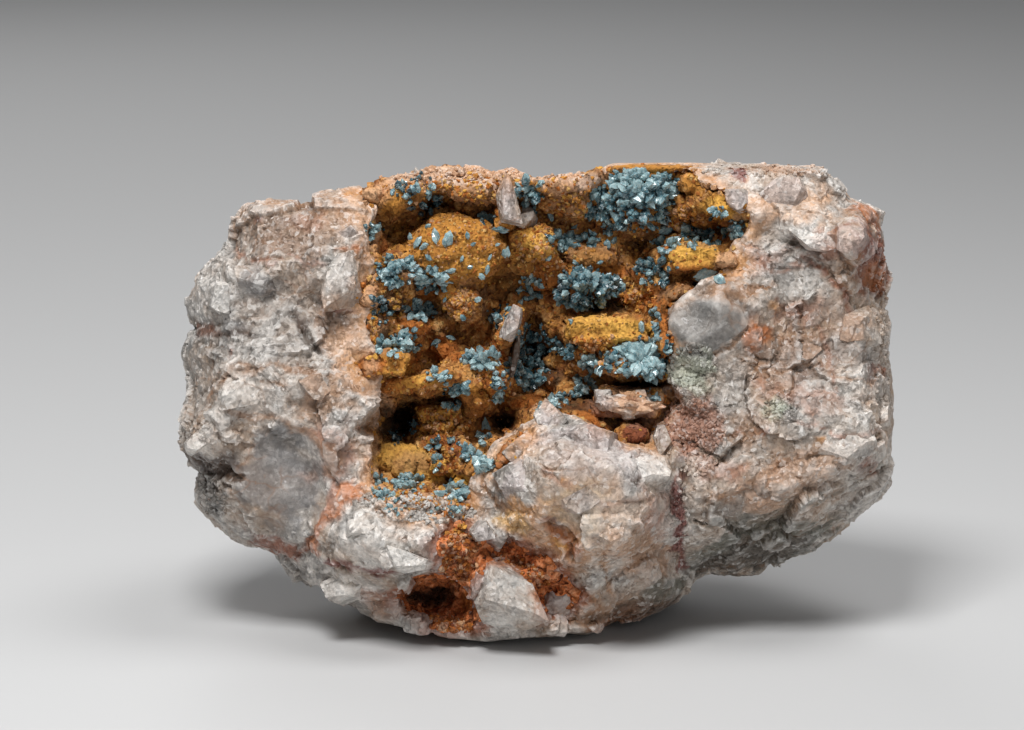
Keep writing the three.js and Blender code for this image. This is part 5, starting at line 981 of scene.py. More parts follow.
def grit(places: np.ndarray, size: float, seed: int) -> np.ndarray:
    """Heights of packed grains.

    Args:
        places: where the height is wanted.
        size: the grains' size.
        seed: picks the pattern.

    Returns:
        Heights of 1 at most, lower in the gaps.
    """
    p = places / size
    base = np.floor(p)
    near = np.full(len(p), np.inf)
    for step in np.ndindex(3, 3, 3):
        cell = base + np.array(step) - 1
        gap = p - cell - hashed(cell, seed)
        near = np.minimum(near, np.sum(gap * gap, axis=1))
    return 1.0 - 2.4 * near


def bent(places: np.ndarray, size: float, reach: float, seed: int) -> np.ndarray:
    """Places pushed about by noise, so that what is drawn on them is ragged."""
    return places + reach * np.stack([rough_noise(places, size, seed + 10 * k, 3) for k in range(3)], axis=1)


def read_points(mesh: bpy.types.Mesh) -> np.ndarray:
    """The mesh's vertices, in metres."""
    points = np.empty(3 * len(mesh.vertices))
    mesh.vertices.foreach_get("co", points)
    return points.reshape(-1, 3)


def write_points(mesh: bpy.types.Mesh, points: np.ndarray) -> None:
    """Moves the mesh's vertices."""
    mesh.vertices.foreach_set("co", points.ravel())
    mesh.update()


def read_normals(mesh: bpy.types.Mesh) -> np.ndarray:
    """The mesh's vertex normals."""
    normals = np.empty(3 * len(mesh.vertices))
    mesh.vertices.foreach_get("normal", normals)
    return normals.reshape(-1, 3)


def read_edges(mesh: bpy.types.Mesh) -> np.ndarray:
    """The mesh's edges, as pairs of vertices."""
    edges = np.empty(2 * len(mesh.edges), dtype=np.int64)
    mesh.edges.foreach_get("vertices", edges)
    return edges.reshape(-1, 2)


def smoothed(values: np.ndarray, edges: np.ndarray, rounds: int) -> np.ndarray:
    """Averages each vertex's values with its neighbours', again and again.

    Args:
        values: one row for each vertex.
        edges: the mesh's edges.
        rounds: how many times.

    Returns:
        The averaged values.
    """
    both = np.concatenate([edges, edges[:, ::-1]])
    count = np.maximum(np.bincount(both[:, 0], minlength=len(values)), 1)
    for _ in range(rounds):
        columns = [
            np.bincount(both[:, 0], values[both[:, 1], k], len(values))
            for k in range(values.shape[1])
        ]
        values = 0.5 * values + 0.5 * np.stack(columns, axis=1) / count[:, None]
    return values


def add_object(name: str, mesh: bpy.types.Mesh) -> bpy.types.Object:
    """Puts a mesh into the scene as an object at the origin."""
    obj = bpy.data.objects.new(name, mesh)
    bpy.context.scene.collection.objects.link(obj)
    return obj


def finished(bm: bmesh.types.BMesh, name: str) -> bpy.types.Mesh:
    """Turns a bmesh into a mesh and frees it."""
    mesh = bpy.data.meshes.new(name)
    bm.to_mesh(mesh)
    bm.free()
    return mesh


def settle(obj: bpy.types.Object) -> None:
    """Makes an object's modifiers part of its mesh."""
    graph = bpy.context.evaluated_depsgraph_get()
    mesh = bpy.data.meshes.new_from_object(obj.evaluated_get(graph))
    obj.modifiers.clear()
    obj.data = mesh


def remesh(obj: bpy.types.Object, grain: float) -> None:
    """Gives an object one skin with even faces of a size in millimetres."""
    even = obj.modifiers.new("even", "REMESH")
    even.mode = "VOXEL"
    even.voxel_size = grain * MM
    settle(obj)


def thin_out(obj: bpy.types.Object, most: int, hidden: np.ndarray) -> None:
    """Joins faces until few enough are left, with more of them where the mesh is seen.

    Args:
        obj: the object.
        most: how many triangles it may have.
        hidden: for each vertex, 1 where it matters least and 0 where it matters most.
    """
    count = sum(len(face.vertices) - 2 for face in obj.data.polygons)
    group = obj.vertex_groups.new(name="hidden")
    steps = np.round(8.0 * (0.5 + 0.5 * hidden)).astype(int)
    for step in np.unique(steps):
        group.add(np.flatnonzero(steps == step).tolist(), step / 8.0, "REPLACE")
    thin = obj.modifiers.new("thin", "DECIMATE")
    thin.ratio = min(1.0, most / count)
    thin.vertex_group = group.name
    thin.vertex_group_factor = 0.00002
    settle(obj)
    obj.vertex_groups.clear()


def copy_of_node(node: str, name: str, grow: float, grain: float) -> bpy.types.Object:
    """An evenly meshed copy of a CAD node.

    Args:
        node: the node.
        name: the copy's name.
        grow: how far its surface moves outwards, in millimetres.
        grain: the size of its new faces, in millimetres.

    Returns:
        The copy.
    """
    bm = bmesh.new()
    bm.from_mesh(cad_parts[node].data)
    bmesh.ops.remove_doubles(bm, verts=bm.verts, dist=0.001 * MM)
    obj = add_object(name, finished(bm, name))
    if grow:
        swell = obj.modifiers.new("swell", "DISPLACE")
        swell.strength = grow * MM
        swell.mid_level = 0.0
    remesh(obj, grain)
    return obj


def set_float(mesh: bpy.types.Mesh, name: str, values: np.ndarray) -> None:
    """Stores one number for each vertex."""
    attribute = mesh.attributes.new(name, "FLOAT", "POINT")
    attribute.data.foreach_set("value", values.astype(np.float32))


def set_colour(mesh: bpy.types.Mesh, name: str, colours: np.ndarray, share: np.ndarray) -> None:
    """Stores a colour and its share for each vertex."""
    attribute = mesh.attributes.new(name, "FLOAT_COLOR", "POINT")
    data = np.concatenate([colours, share[:, None]], axis=1)
    attribute.data.foreach_set("color", data.astype(np.float32).ravel())


def shade_smooth(mesh: bpy.types.Mesh) -> None:
    """Shades every face smoothly."""
    mesh.polygons.foreach_set("use_smooth", [True] * len(mesh.polygons))


def crevices(mesh: bpy.types.Mesh, rounds: int) -> np.ndarray:
    """How deep each vertex lies below its surroundings, in millimetres.

    Args:
        mesh: the mesh.
        rounds: how wide the surroundings are.

    Returns:
        More than 0 in a hollow, less on a ridge.
    """
    points = read_points(mesh)
    around = smoothed(points, read_edges(mesh), rounds)
    return np.sum((around - points) * read_normals(mesh), axis=1) / MM


def room(points: np.ndarray, normals: np.ndarray) -> np.ndarray:
    """How far each point may move along its normal inside the CAD model's box, in millimetres."""
    low, high = (np.array(corner) for corner in CAD_BOX)
    ahead = np.where(normals > 0.0, high - points, points - low) / np.maximum(np.abs(normals), 0.001)
    return np.clip(ahead.min(axis=1) / MM, 0.0, 100.0)


def keep_in_box(points: np.ndarray) -> np.ndarray:
    """Keeps points inside the CAD model's box."""
    low, high = (np.array(corner) for corner in CAD_BOX)
    return np.clip(points, low, high)


@dataclass
class NodeTree:
    """A small helper that builds one material's nodes."""

    material: bpy.types.Material

    @classmethod
    def named(cls, name: str) -> "NodeTree":
        """Starts an empty material."""
        material = bpy.data.materials.new(name)
        material.use_nodes = True
        material.node_tree.nodes.clear()
        return cls(material)

    def add(self, kind: str, inputs: dict | None = None, **settings: object) -> bpy.types.Node:
        """Adds a node.

        Args:
            kind: the node's type.
            inputs: what goes into its sockets: values, or sockets of other nodes.
            **settings: the node's own settings.

        Returns:
            The node.
        """
        node = self.material.node_tree.nodes.new(kind)
        for key, value in settings.items():
            setattr(node, key, value)
        for key, value in (inputs or {}).items():
            if isinstance(value, Socket):
                self.material.node_tree.links.new(value, node.inputs[key])
            else:
                node.inputs[key].default_value = value
        return node

    def place(self) -> Socket:
        """Object coordinates, in metres."""
        return self.add("ShaderNodeTexCoord").outputs["Object"]

    def attribute(self, name: str) -> bpy.types.Node:
        """A stored attribute."""
        return self.add("ShaderNodeAttribute", attribute_name=name)

    def noise(self, place: Socket, size: float, detail: float = 4.0, distort: float = 0.0) -> Socket:
        """Noise from 0 to 1 with lumps of a size in millimetres."""
        inputs = {"Vector": place, "Scale": 1.0 / (size * MM), "Detail": detail, "Distortion": distort}
        return self.add("ShaderNodeTexNoise", inputs).outputs["Fac"]

    def cells(self, place: Socket, size: float, feature: str = "F1") -> bpy.types.Node:
        """Cells of a size in millimetres."""
        inputs = {"Vector": place, "Scale": 1.0 / (size * MM)}
        return self.add("ShaderNodeTexVoronoi", inputs, feature=feature)

    def warped(self, size: float, reach: float) -> Socket:
        """Object coordinates pushed about by noise, both in millimetres."""
        place = self.place()
        noise = self.add("ShaderNodeTexNoise", {"Vector": place, "Scale": 1.0 / (size * MM), "Detail": 2.0})
        push = self.vector("SUBTRACT", noise.outputs["Color"], (0.5, 0.5, 0.5))
        return self.vector("ADD", place, self.scaled(push, 2.0 * reach * MM))

    def vector(self, operation: str, a: Value, b: Value) -> Socket:
        """One sum of two vectors."""
        return self.add("ShaderNodeVectorMath", {0: a, 1: b}, operation=operation).outputs[0]

    def scaled(self, a: Value, factor: Value) -> Socket:
        """A vector times a number."""
        return self.add("ShaderNodeVectorMath", {0: a, "Scale": factor}, operation="SCALE").outputs[0]

    def dice(self, cells: bpy.types.Node) -> Socket:
        """A random number from 0 to 1 for each cell."""
        return self.add("ShaderNodeSeparateXYZ", {0: cells.outputs["Color"]}).outputs["X"]

    def tipped(self, cells: bpy.types.Node, amount: Value, normal: Socket | None = None) -> Socket:
        """The normal, tipped another way in each cell."""
        tip = self.scaled(self.vector("SUBTRACT", cells.outputs["Color"], (0.5, 0.5, 0.5)), amount)
        start = normal or self.add("ShaderNodeNewGeometry").outputs["Normal"]
        total = self.vector("ADD", start, tip)
        return self.add("ShaderNodeVectorMath", {0: total}, operation="NORMALIZE").outputs[0]

    def total(self, *parts: tuple) -> Socket:
        """A weighted sum of sockets, each given with its weight."""
        whole = None
        for socket, weight in parts:
            part = self.times(socket, weight)
            whole = part if whole is None else self.math("ADD", whole, part)
        return whole

    def span(self, value: Socket, low: float, high: float, to: Pair = (0.0, 1.0)) -> Socket:
        """Stretches a range of values to another one."""
        inputs = {"Value": value, "From Min": low, "From Max": high, "To Min": to[0], "To Max": to[1]}
        return self.add("ShaderNodeMapRange", inputs, clamp=True).outputs["Result"]

    def math(self, operation: str, a: Value, b: Value) -> Socket:
        """One sum of two values."""
        return self.add("ShaderNodeMath", {0: a, 1: b}, operation=operation).outputs[0]

    def times(self, a: Value, b: Value) -> Socket:
        """The product of two values."""
        return self.math("MULTIPLY", a, b)

    def mix(self, share: Value, a: Value, b: Value, blend: str = "MIX") -> Socket:
        """Mixes two colours.

        Args:
            share: how much of the second one there is.
            a: the first colour.
            b: the second colour.
            blend: how they are mixed.

        Returns:
            The mixed colour.
        """
        inputs = {"Factor": share, "A": a, "B": b}
        node = self.material.node_tree.nodes.new("ShaderNodeMix")
        node.data_type = "RGBA"
        node.blend_type = blend
        sockets = {"Factor": node.inputs[0], "A": node.inputs[6], "B": node.inputs[7]}
        for key, value in inputs.items():
            if isinstance(value, Socket):
                self.material.node_tree.links.new(value, sockets[key])
            elif key == "Factor":
                sockets[key].default_value = value
            else:
                sockets[key].default_value = (*value, 1.0)
        return node.outputs[2]

    def bump(self, height: Socket, depth: float, normal: Socket | None = None) -> Socket:
        """Bumps of a depth in millimetres."""
        inputs = {"Height": height, "Distance": depth * MM, "Strength": 1.0}
        if normal is not None:
            inputs["Normal"] = normal
        return self.add("ShaderNodeBump", inputs).outputs["Normal"]

    def finish(self, **sockets: object) -> bpy.types.Material:
        """Adds the surface shader and the output.

        Args:
            **sockets: the shader's sockets, with _ for a space.

        Returns:
            The material.
        """
        inputs = {key.replace("_", " "): value for key, value in sockets.items()}
        shader = self.add("ShaderNodeBsdfPrincipled", inputs)
        self.add("ShaderNodeOutputMaterial", {"Surface": shader.outputs["BSDF"]})
        return self.material


@dataclass(frozen=True)
class QuartzFinish:
    """Milky, granular quartz with stains, with painted shade in its crevices and painted light on its ridges.
    """

    pale: Colour = (0.62, 0.57, 0.52)
    clear: Colour = (0.23, 0.21, 0.19)
    warm: Colour = (0.44, 0.30, 0.20)
    fleck: Colour = (0.82, 0.80, 0.77)
    shade: Colour = (0.07, 0.05, 0.035)
    vein: Colour = (0.22, 0.11, 0.055)

    def material(self) -> bpy.types.Material:
        """Builds the material."""
        tree = NodeTree.named("milky_quartz")
        place = tree.warped(1.6, 0.5)
        large = tree.cells(place, 3.4)
        middle = tree.cells(place, 1.3)
        fine = tree.cells(place, 0.5)
        sugar = tree.cells(place, 0.27)
        broad = tree.noise(place, 8.0, 5.0, 0.6)
        cloudy = tree.noise(place, 2.4, 6.0, 0.4)
        sleek = tree.attribute("sleek").outputs["Fac"]
        rough = tree.math("SUBTRACT", 1.0, tree.times(sleek, 0.7))
        light = tree.total(
            (tree.dice(large), 0.25),
            (tree.dice(middle), 0.3),
            (tree.dice(fine), 0.3),
            (tree.dice(sugar), 0.2),
            (cloudy, 0.9),
        )
        body = tree.mix(tree.span(light, 0.7, 1.25), self.clear, self.pale)
        body = tree.mix(tree.times(tree.span(broad, 0.42, 0.64), 0.7), body, self.warm)
        stain = tree.attribute("stain")
        patchy = tree.span(tree.total((cloudy, 0.9), (tree.dice(middle), 0.35)), 0.3, 0.8, (0.85, 1.9))
        share = tree.math("MINIMUM", tree.times(stain.outputs["Alpha"], patchy), 1.0)
        glaze = tree.mix(1.0, body, tree.scaled(stain.outputs["Color"], 2.1), "MULTIPLY")
        tinted = tree.mix(0.14, tree.mix(0.5, stain.outputs["Color"], glaze), body)
        body = tree.mix(share, body, tinted)
        grain = tree.times(tree.span(tree.dice(fine), 0.82, 0.97), tree.times(rough, 0.35))
        body = tree.mix(grain, body, self.fleck)
        edges = tree.cells(tree.warped(3.0, 1.2), 4.2, "DISTANCE_TO_EDGE").outputs["Distance"]
        veins = tree.times(tree.span(edges, 0.0, 0.05, (0.5, 0.0)), tree.span(broad, 0.46, 0.6))
        specks = tree.span(tree.noise(place, 0.9, 3.0), 0.64, 0.73, (0.0, 0.6))
        specks = tree.times(specks, tree.span(tree.noise(place, 9.0, 2.0), 0.47, 0.6))
        body = tree.mix(tree.math("MAXIMUM", veins, specks), body, self.vein)
        # Painted shade: darker in crevices, towards the shade colour. Painted light: paler on ridges, towards
        # the fleck colour.
        crevice = tree.attribute("crevice").outputs["Fac"]
        body = tree.mix(tree.times(tree.span(crevice, 0.06, 0.4), 0.55), body, self.shade)
        body = tree.mix(tree.times(tree.span(crevice, -0.04, -0.3), 0.3), body, self.fleck)
        uneven = tree.mix(tree.noise(place, 0.4, 3.0), (0.62, 0.62, 0.62), (1.3, 1.3, 1.3))
        body = tree.mix(1.0, body, uneven, "MULTIPLY")
        normal = tree.tipped(middle, tree.times(rough, 0.35))
        normal = tree.tipped(fine, tree.times(rough, 0.6), normal)
        normal = tree.tipped(sugar, tree.times(rough, 0.6), normal)
        normal = tree.bump(tree.noise(place, 0.5, 5.0), 0.08, normal)
        return tree.finish(
            Base_Color=body,
            Roughness=tree.span(tree.dice(fine), 0.0, 1.0, (0.28, 0.7)),
            Specular_IOR_Level=0.5,
            Subsurface_Weight=0.08,
            Subsurface_Radius=(0.9, 0.8, 0.7),
            Subsurface_Scale=MM,
            Normal=normal,
        )


@dataclass(frozen=True)
class LimoniteFinish:
    """Dull, granular limonite, with painted shade in its crevices."""

    name: str
    main: Colour = (0.50, 0.225, 0.055)
    bright: Colour = (0.77, 0.47, 0.19)
    dark: Colour = (0.17, 0.06, 0.017)
    red: Colour = (0.28, 0.085, 0.02)

    def material(self) -> bpy.types.Material:
        """Builds the material."""
        tree = NodeTree.named(self.name)
        place = tree.warped(1.0, 0.3)
        middle = tree.cells(place, 0.95)
        fine = tree.cells(place, 0.42)
        broad = tree.noise(place, 3.2, 5.0, 0.5)
        grain = tree.noise(place, 0.45, 4.0)
        light = tree.total((broad, 1.0), (tree.dice(middle), 0.35), (tree.dice(fine), 0.25))
        body = tree.mix(tree.span(light, 0.5, 0.85), self.dark, self.main)
        body = tree.mix(tree.span(light, 0.82, 1.2), body, self.bright)
        patches = tree.noise(place, 2.0, 4.0, 0.8)
        body = tree.mix(tree.span(patches, 0.5, 0.66, (0.0, 0.75)), body, self.red)
        stain = tree.attribute("stain")
        share = tree.times(stain.outputs["Alpha"], tree.span(light, 0.45, 0.9, (0.55, 1.0)))
        body = tree.mix(share, body, stain.outputs["Color"])
        # Painted shade: darker in crevices, towards the dark colour.
        crevice = tree.attribute("crevice").outputs["Fac"]
        body = tree.mix(tree.times(tree.span(crevice, 0.02, 0.35), 0.75), body, self.dark)
        body = tree.mix(1.0, body, tree.mix(grain, (0.5, 0.45, 0.4), (1.4, 1.4, 1.4)), "MULTIPLY")
        normal = tree.tipped(fine, 0.9, tree.tipped(middle, 0.5))
        normal = tree.bump(tree.math("ADD", grain, fine.outputs["Distance"]), 0.16, normal)
        return tree.finish(Base_Color=body, Roughness=0.85, Specular_IOR_Level=0.3, Normal=normal)


@dataclass(frozen=True)
class CrystalFinish:
    """Glassy teal crystal."""

    deep: Colour = (0.016, 0.044, 0.058)
    middle: Colour = (0.075, 0.17, 0.205)
    pale: Colour = (0.31, 0.45, 0.47)
    dust: Colour = (0.55, 0.57, 0.52)

    def material(self) -> bpy.types.Material:
        """Builds the material."""
        tree = NodeTree.named("blue_crystal")
        place = tree.place()
        tone = tree.attribute("tone").outputs["Fac"]
        cloud = tree.noise(place, 0.8, 4.0)
        shift = tree.math("ADD", tone, tree.span(cloud, 0.3, 0.7, (-0.3, 0.3)))
        body = tree.mix(tree.span(shift, 0.0, 0.5), self.deep, self.middle)
        body = tree.mix(tree.span(shift, 0.5, 1.1), body, self.pale)
        grain = tree.noise(place, 0.3, 5.0)
        body = tree.mix(tree.span(grain, 0.52, 0.74, (0.0, 0.6)), body, self.dust)
        uneven = tree.mix(tree.noise(place, 0.22, 3.0), (0.5, 0.5, 0.5), (1.4, 1.4, 1.4))
        body = tree.mix(1.0, body, uneven, "MULTIPLY")
        normal = tree.bump(grain, 0.1)
        return tree.finish(
            Base_Color=body,
            Roughness=tree.span(grain, 0.3, 0.7, (0.14, 0.42)),
            IOR=1.6,
            Subsurface_Weight=0.12,
            Subsurface_Radius=(0.4, 0.7, 0.8),
            Subsurface_Scale=MM,
            Coat_Weight=0.4,
            Coat_Roughness=0.12,
            Normal=normal,
        )


@dataclass(frozen=True)
class FloorFinish:
    """A plain pale floor."""

    colour: Colour = (0.5, 0.5, 0.5)

    def material(self) -> bpy.types.Material:
        """Builds the material."""
        tree = NodeTree.named("pale_floor")
        soft = tree.noise(tree.place(), 400.0, 1.0)
        light = tuple(1.02 * c for c in self.colour)
        return tree.finish(Base_Color=tree.mix(soft, self.colour, light), Roughness=0.6)


def painted(
    places: np.ndarray, stains: tuple[Stain, ...], seams: tuple[Seam, ...], front: np.ndarray, seed: int
) -> Coat:
    """The colour that lies over the stone's own.

    Args:
        places: face places.
        stains: patches of colour, later ones over earlier ones.
        seams: lines of colour, over all patches.
        front: 1 where a place belongs to the face, and 0 on the back.
        seed: picks how the edges are broken up.

    Returns:
        Colours, and how much of each shows.
    """
    ragged = 0.4 * rough_noise(places, 2.6, seed, 4)
    layers = [(stain.tint, stain.strength * stain.share(places, ragged, stain.top)) for stain in stains]
    for seam in seams:
        far = line_distance(places, seam.line) / (2.2 * seam.width) + ragged
        layers.append((seam.tint, seam.strength * (1.0 - ease(far, 0.2, 1.2))))
    coat = (np.tile(np.array(BEIGE.value), (len(places), 1)), np.zeros(len(places)))
    for tint, cover in layers:
        coat = over(coat, tint, cover * front)
    return coat


def over(under: Coat, tint: Tint, cover: np.ndarray) -> Coat:
    """Lays one more colour over painted ones.

    Args:
        under: the colours and shares so far.
        tint: the colour.
        cover: how much of it each place has.

    Returns:
        The new colours and shares.
    """
    colour, share = under
    both = cover + share * (1.0 - cover)
    weight = (cover / np.maximum(both, 1e-6))[:, None]
    return colour * (1.0 - weight) + np.array(tint.value) * weight, both


def covered_by(tree: BVHTree, points: np.ndarray, normals: np.ndarray, reach: float) -> np.ndarray:
    """Whether a surface lies close in front of each point.

    Args:
        tree: the surface.
        points: points in metres.
        normals: where the points face.
        reach: how far to look, in millimetres.

    Returns:
        True where it does.
    """
    rays = zip(points, normals)
    return np.array([tree.ray_cast(Vector(p), Vector(n), reach * MM)[0] is not None for p, n in rays])


def shifted(places: np.ndarray, extra: np.ndarray | None = None) -> np.ndarray:
    """Places moved by the pocket's finer hollows.

    Args:
        places: face places.
        extra: where the move is a little larger.

    Returns:
        The moved places.
    """
    wavy = bent(places, 1.6, 0.35, 130)
    inside = ease(places[:, 2], -14.0, -10.0)
    moved = places.copy()
    aside = 1.0 - ease(np.abs(places[:, 0] - POCKET_LEFT), 1.5, 6.5)
    moved[:, 0] += 1.7 * rough_noise(places, 6.0, 150, 3) * aside * inside
    for relief in RELIEFS:
        share = relief.share(wavy, 0.0, relief.top) * inside
        moved[:, 2] += share * relief.rise
        if extra is not None:
            moved[:, 2] -= 0.3 * share * extra
    return moved


def distance_to(tree: BVHTree, points: np.ndarray, reach: float) -> np.ndarray:
    """Distance from points to a surface.

    Args:
        tree: the surface.
        points: points in metres.
        reach: how far to look, in millimetres.

    Returns:
        Distances in millimetres, none above the reach.
    """
    found = (tree.find_nearest(Vector(p), reach * MM)[3] for p in points)
    return np.array([reach if d is None else d / MM for d in found])


def tree_of(*objects: bpy.types.Object) -> BVHTree:
    """A search tree of one or more meshes."""
    bm = bmesh.new()
    for obj in objects:
        bm.from_mesh(obj.data)
    tree = BVHTree.FromBMesh(bm)
    bm.free()
    return tree


def scattered(name: str, shapes: list[bpy.types.Mesh], picks: list[Pick]) -> bpy.types.Object:
    """One object made of many small closed solids.

    Args:
        name: the object's name.
        shapes: the solids to choose from.
        picks: for each solid its shape, its place and its tone, to which its tips add a little.

    Returns:
        The object.
    """
    bm = bmesh.new()
    tones = []
    tips = [0.3 * np.abs(read_points(shape)[:, 2]) for shape in shapes]
    for index, matrix, tone in picks:
        shape = shapes[index].copy()
        shape.transform(matrix)
        bm.from_mesh(shape)
        tones.append(tone + tips[index])
        bpy.data.meshes.remove(shape)
    mesh = finished(bm, name)
    set_float(mesh, "tone", np.concatenate(tones))
    return add_object(name, mesh)


def pointed(sides: int, shoulder: float, waist: float, flat: float) -> bpy.types.Mesh:
    """A crystal that is pointed at both ends, 2 long and 2 wide.

    Args:
        sides: how many sides it has.
        shoulder: where its sides turn in to the points, from 0 in the middle to 1.
        waist: its width at the shoulders, against 1 in the middle.
        flat: its thickness against its width.

    Returns:
        The crystal.
    """
    bm = bmesh.new()
    bmesh.ops.create_uvsphere(bm, u_segments=sides, v_segments=4, radius=1.0)
    for vertex in bm.verts:
        if 0.1 < abs(vertex.co.z) < 0.9:
            vertex.co.x *= waist / math.sqrt(0.5)
            vertex.co.y *= waist / math.sqrt(0.5)
            vertex.co.z = math.copysign(shoulder, vertex.co.z)
        vertex.co.y *= flat
    return finished(bm, "crystal_shape")


def lump(rng: np.random.Generator) -> bpy.types.Mesh:
    """An uneven grain of radius 1."""
    bm = bmesh.new()
    bmesh.ops.create_icosphere(bm, subdivisions=1, radius=1.0)
    for vertex in bm.verts:
        vertex.co *= rng.uniform(0.6, 1.25)
    return finished(bm, "grain_shape")


def rock_shape(form: Form, rng: np.random.Generator, lumps: list[bpy.types.Mesh]) -> bpy.types.Mesh:
    """A rock of half size 1 each way.

    Args:
        form: what it is like.
        rng: makes it uneven.
        lumps: what a rough one is heaped up from.

    Returns:
        The rock.
    """
    bm = bmesh.new()
    if form in (SLAB, CHIP):
        bmesh.ops.create_cube(bm, size=1.7 if form is SLAB else 2.0)
    else:
        bmesh.ops.create_icosphere(bm, subdivisions=3, radius=1.0 if form is ROUND else 0.72)
    if form is SLAB:
        bmesh.ops.subdivide_edges(bm, edges=bm.edges, cuts=2, use_grid_fill=True)
    if form is CHIP:
        for _ in range(9):
            heading = rng.normal(size=3) * np.array([1.0, 1.0, 0.5])
            heading *= math.copysign(1.0, heading[2]) / np.linalg.norm(heading)
            spot = heading * rng.uniform(0.7, 1.0)
            parts = bm.verts[:] + bm.edges[:] + bm.faces[:]
            cut = bmesh.ops.bisect_plane(bm, geom=parts, plane_co=spot, plane_no=heading, clear_outer=True)
            rim = [part for part in cut["geom_cut"] if isinstance(part, bmesh.types.BMEdge)]
            bmesh.ops.edgeloop_fill(bm, edges=rim)
        bmesh.ops.triangulate(bm, faces=bm.faces)
        bmesh.ops.subdivide_edges(bm, edges=bm.edges, cuts=4, use_grid_fill=True)
    loose = {ROUND: 0.05, ROUGH: 0.16, SLAB: 0.16, CHIP: 0.0}[form]
    for vertex in bm.verts:
        vertex.co *= rng.uniform(1.0 - loose, 1.0 + loose)
    if form in (ROUGH, SLAB):
        for _ in range(26):
            heading = rng.normal(size=3)
            spot = heading / np.linalg.norm(heading) * rng.uniform(0.5, 0.95)
            part = lumps[int(rng.integers(len(lumps)))].copy()
            turn = turned_to(rng.normal(size=3), 0.0)
            size = Matrix.Diagonal((*rng.uniform(0.12, 0.36, 3), 1.0))
            part.transform(Matrix.Translation(Vector(spot)) @ turn @ size)
            bm.from_mesh(part)
            bpy.data.meshes.remove(part)
    return finished(bm, "rock_shape")


def with_pieces(
    name: str,
    start: bpy.types.Mesh | None,
    pieces: tuple[Piece, ...],
    ground: BVHTree,
    face: FaceFrame,
    rng: np.random.Generator,
) -> bpy.types.Object:
    """Rocks set on the ground, each as its entry says.

    Args:
        name: the object's name.
        start: a mesh that they are added to, or None.
        pieces: the rocks.
        ground: what they stand on.
        face: the face's frame.
        rng: makes them uneven.

    Returns:
        The object.
    """
    right, up, out = face.axes
    axes = Matrix(np.stack([right, up, out], axis=1).tolist()).to_4x4()
    lumps = [lump(rng) for _ in range(6)]
    bm = bmesh.new()
    if start is not None:
        bm.from_mesh(start)
    for piece in pieces:
        above = face.to_world(np.array([[*piece.at, OVERHEAD]]))[0]
        spot = ground.ray_cast(Vector(above), Vector(-out))[0]
        size = Matrix.Diagonal((piece.half[0] * MM, piece.half[1] * MM, piece.thick * MM, 1.0))
        rock = rock_shape(piece.form, rng, lumps)
        turn = Matrix.Rotation(math.radians(piece.turn), 4, "Z")
        rock.transform(Matrix.Translation(spot + Vector(out) * piece.out * MM) @ axes @ turn @ size)
        bm.from_mesh(rock)
        bpy.data.meshes.remove(rock)
    for part in lumps:
        bpy.data.meshes.remove(part)
    return add_object(name, finished(bm, name))


def turned_to(axis: np.ndarray, spin: float) -> Matrix:
    """A turn that takes Z to an axis, after a spin about Z."""
    return Vector(axis).to_track_quat("Z", "X").to_matrix().to_4x4() @ Matrix.Rotation(spin, 4, "Z")


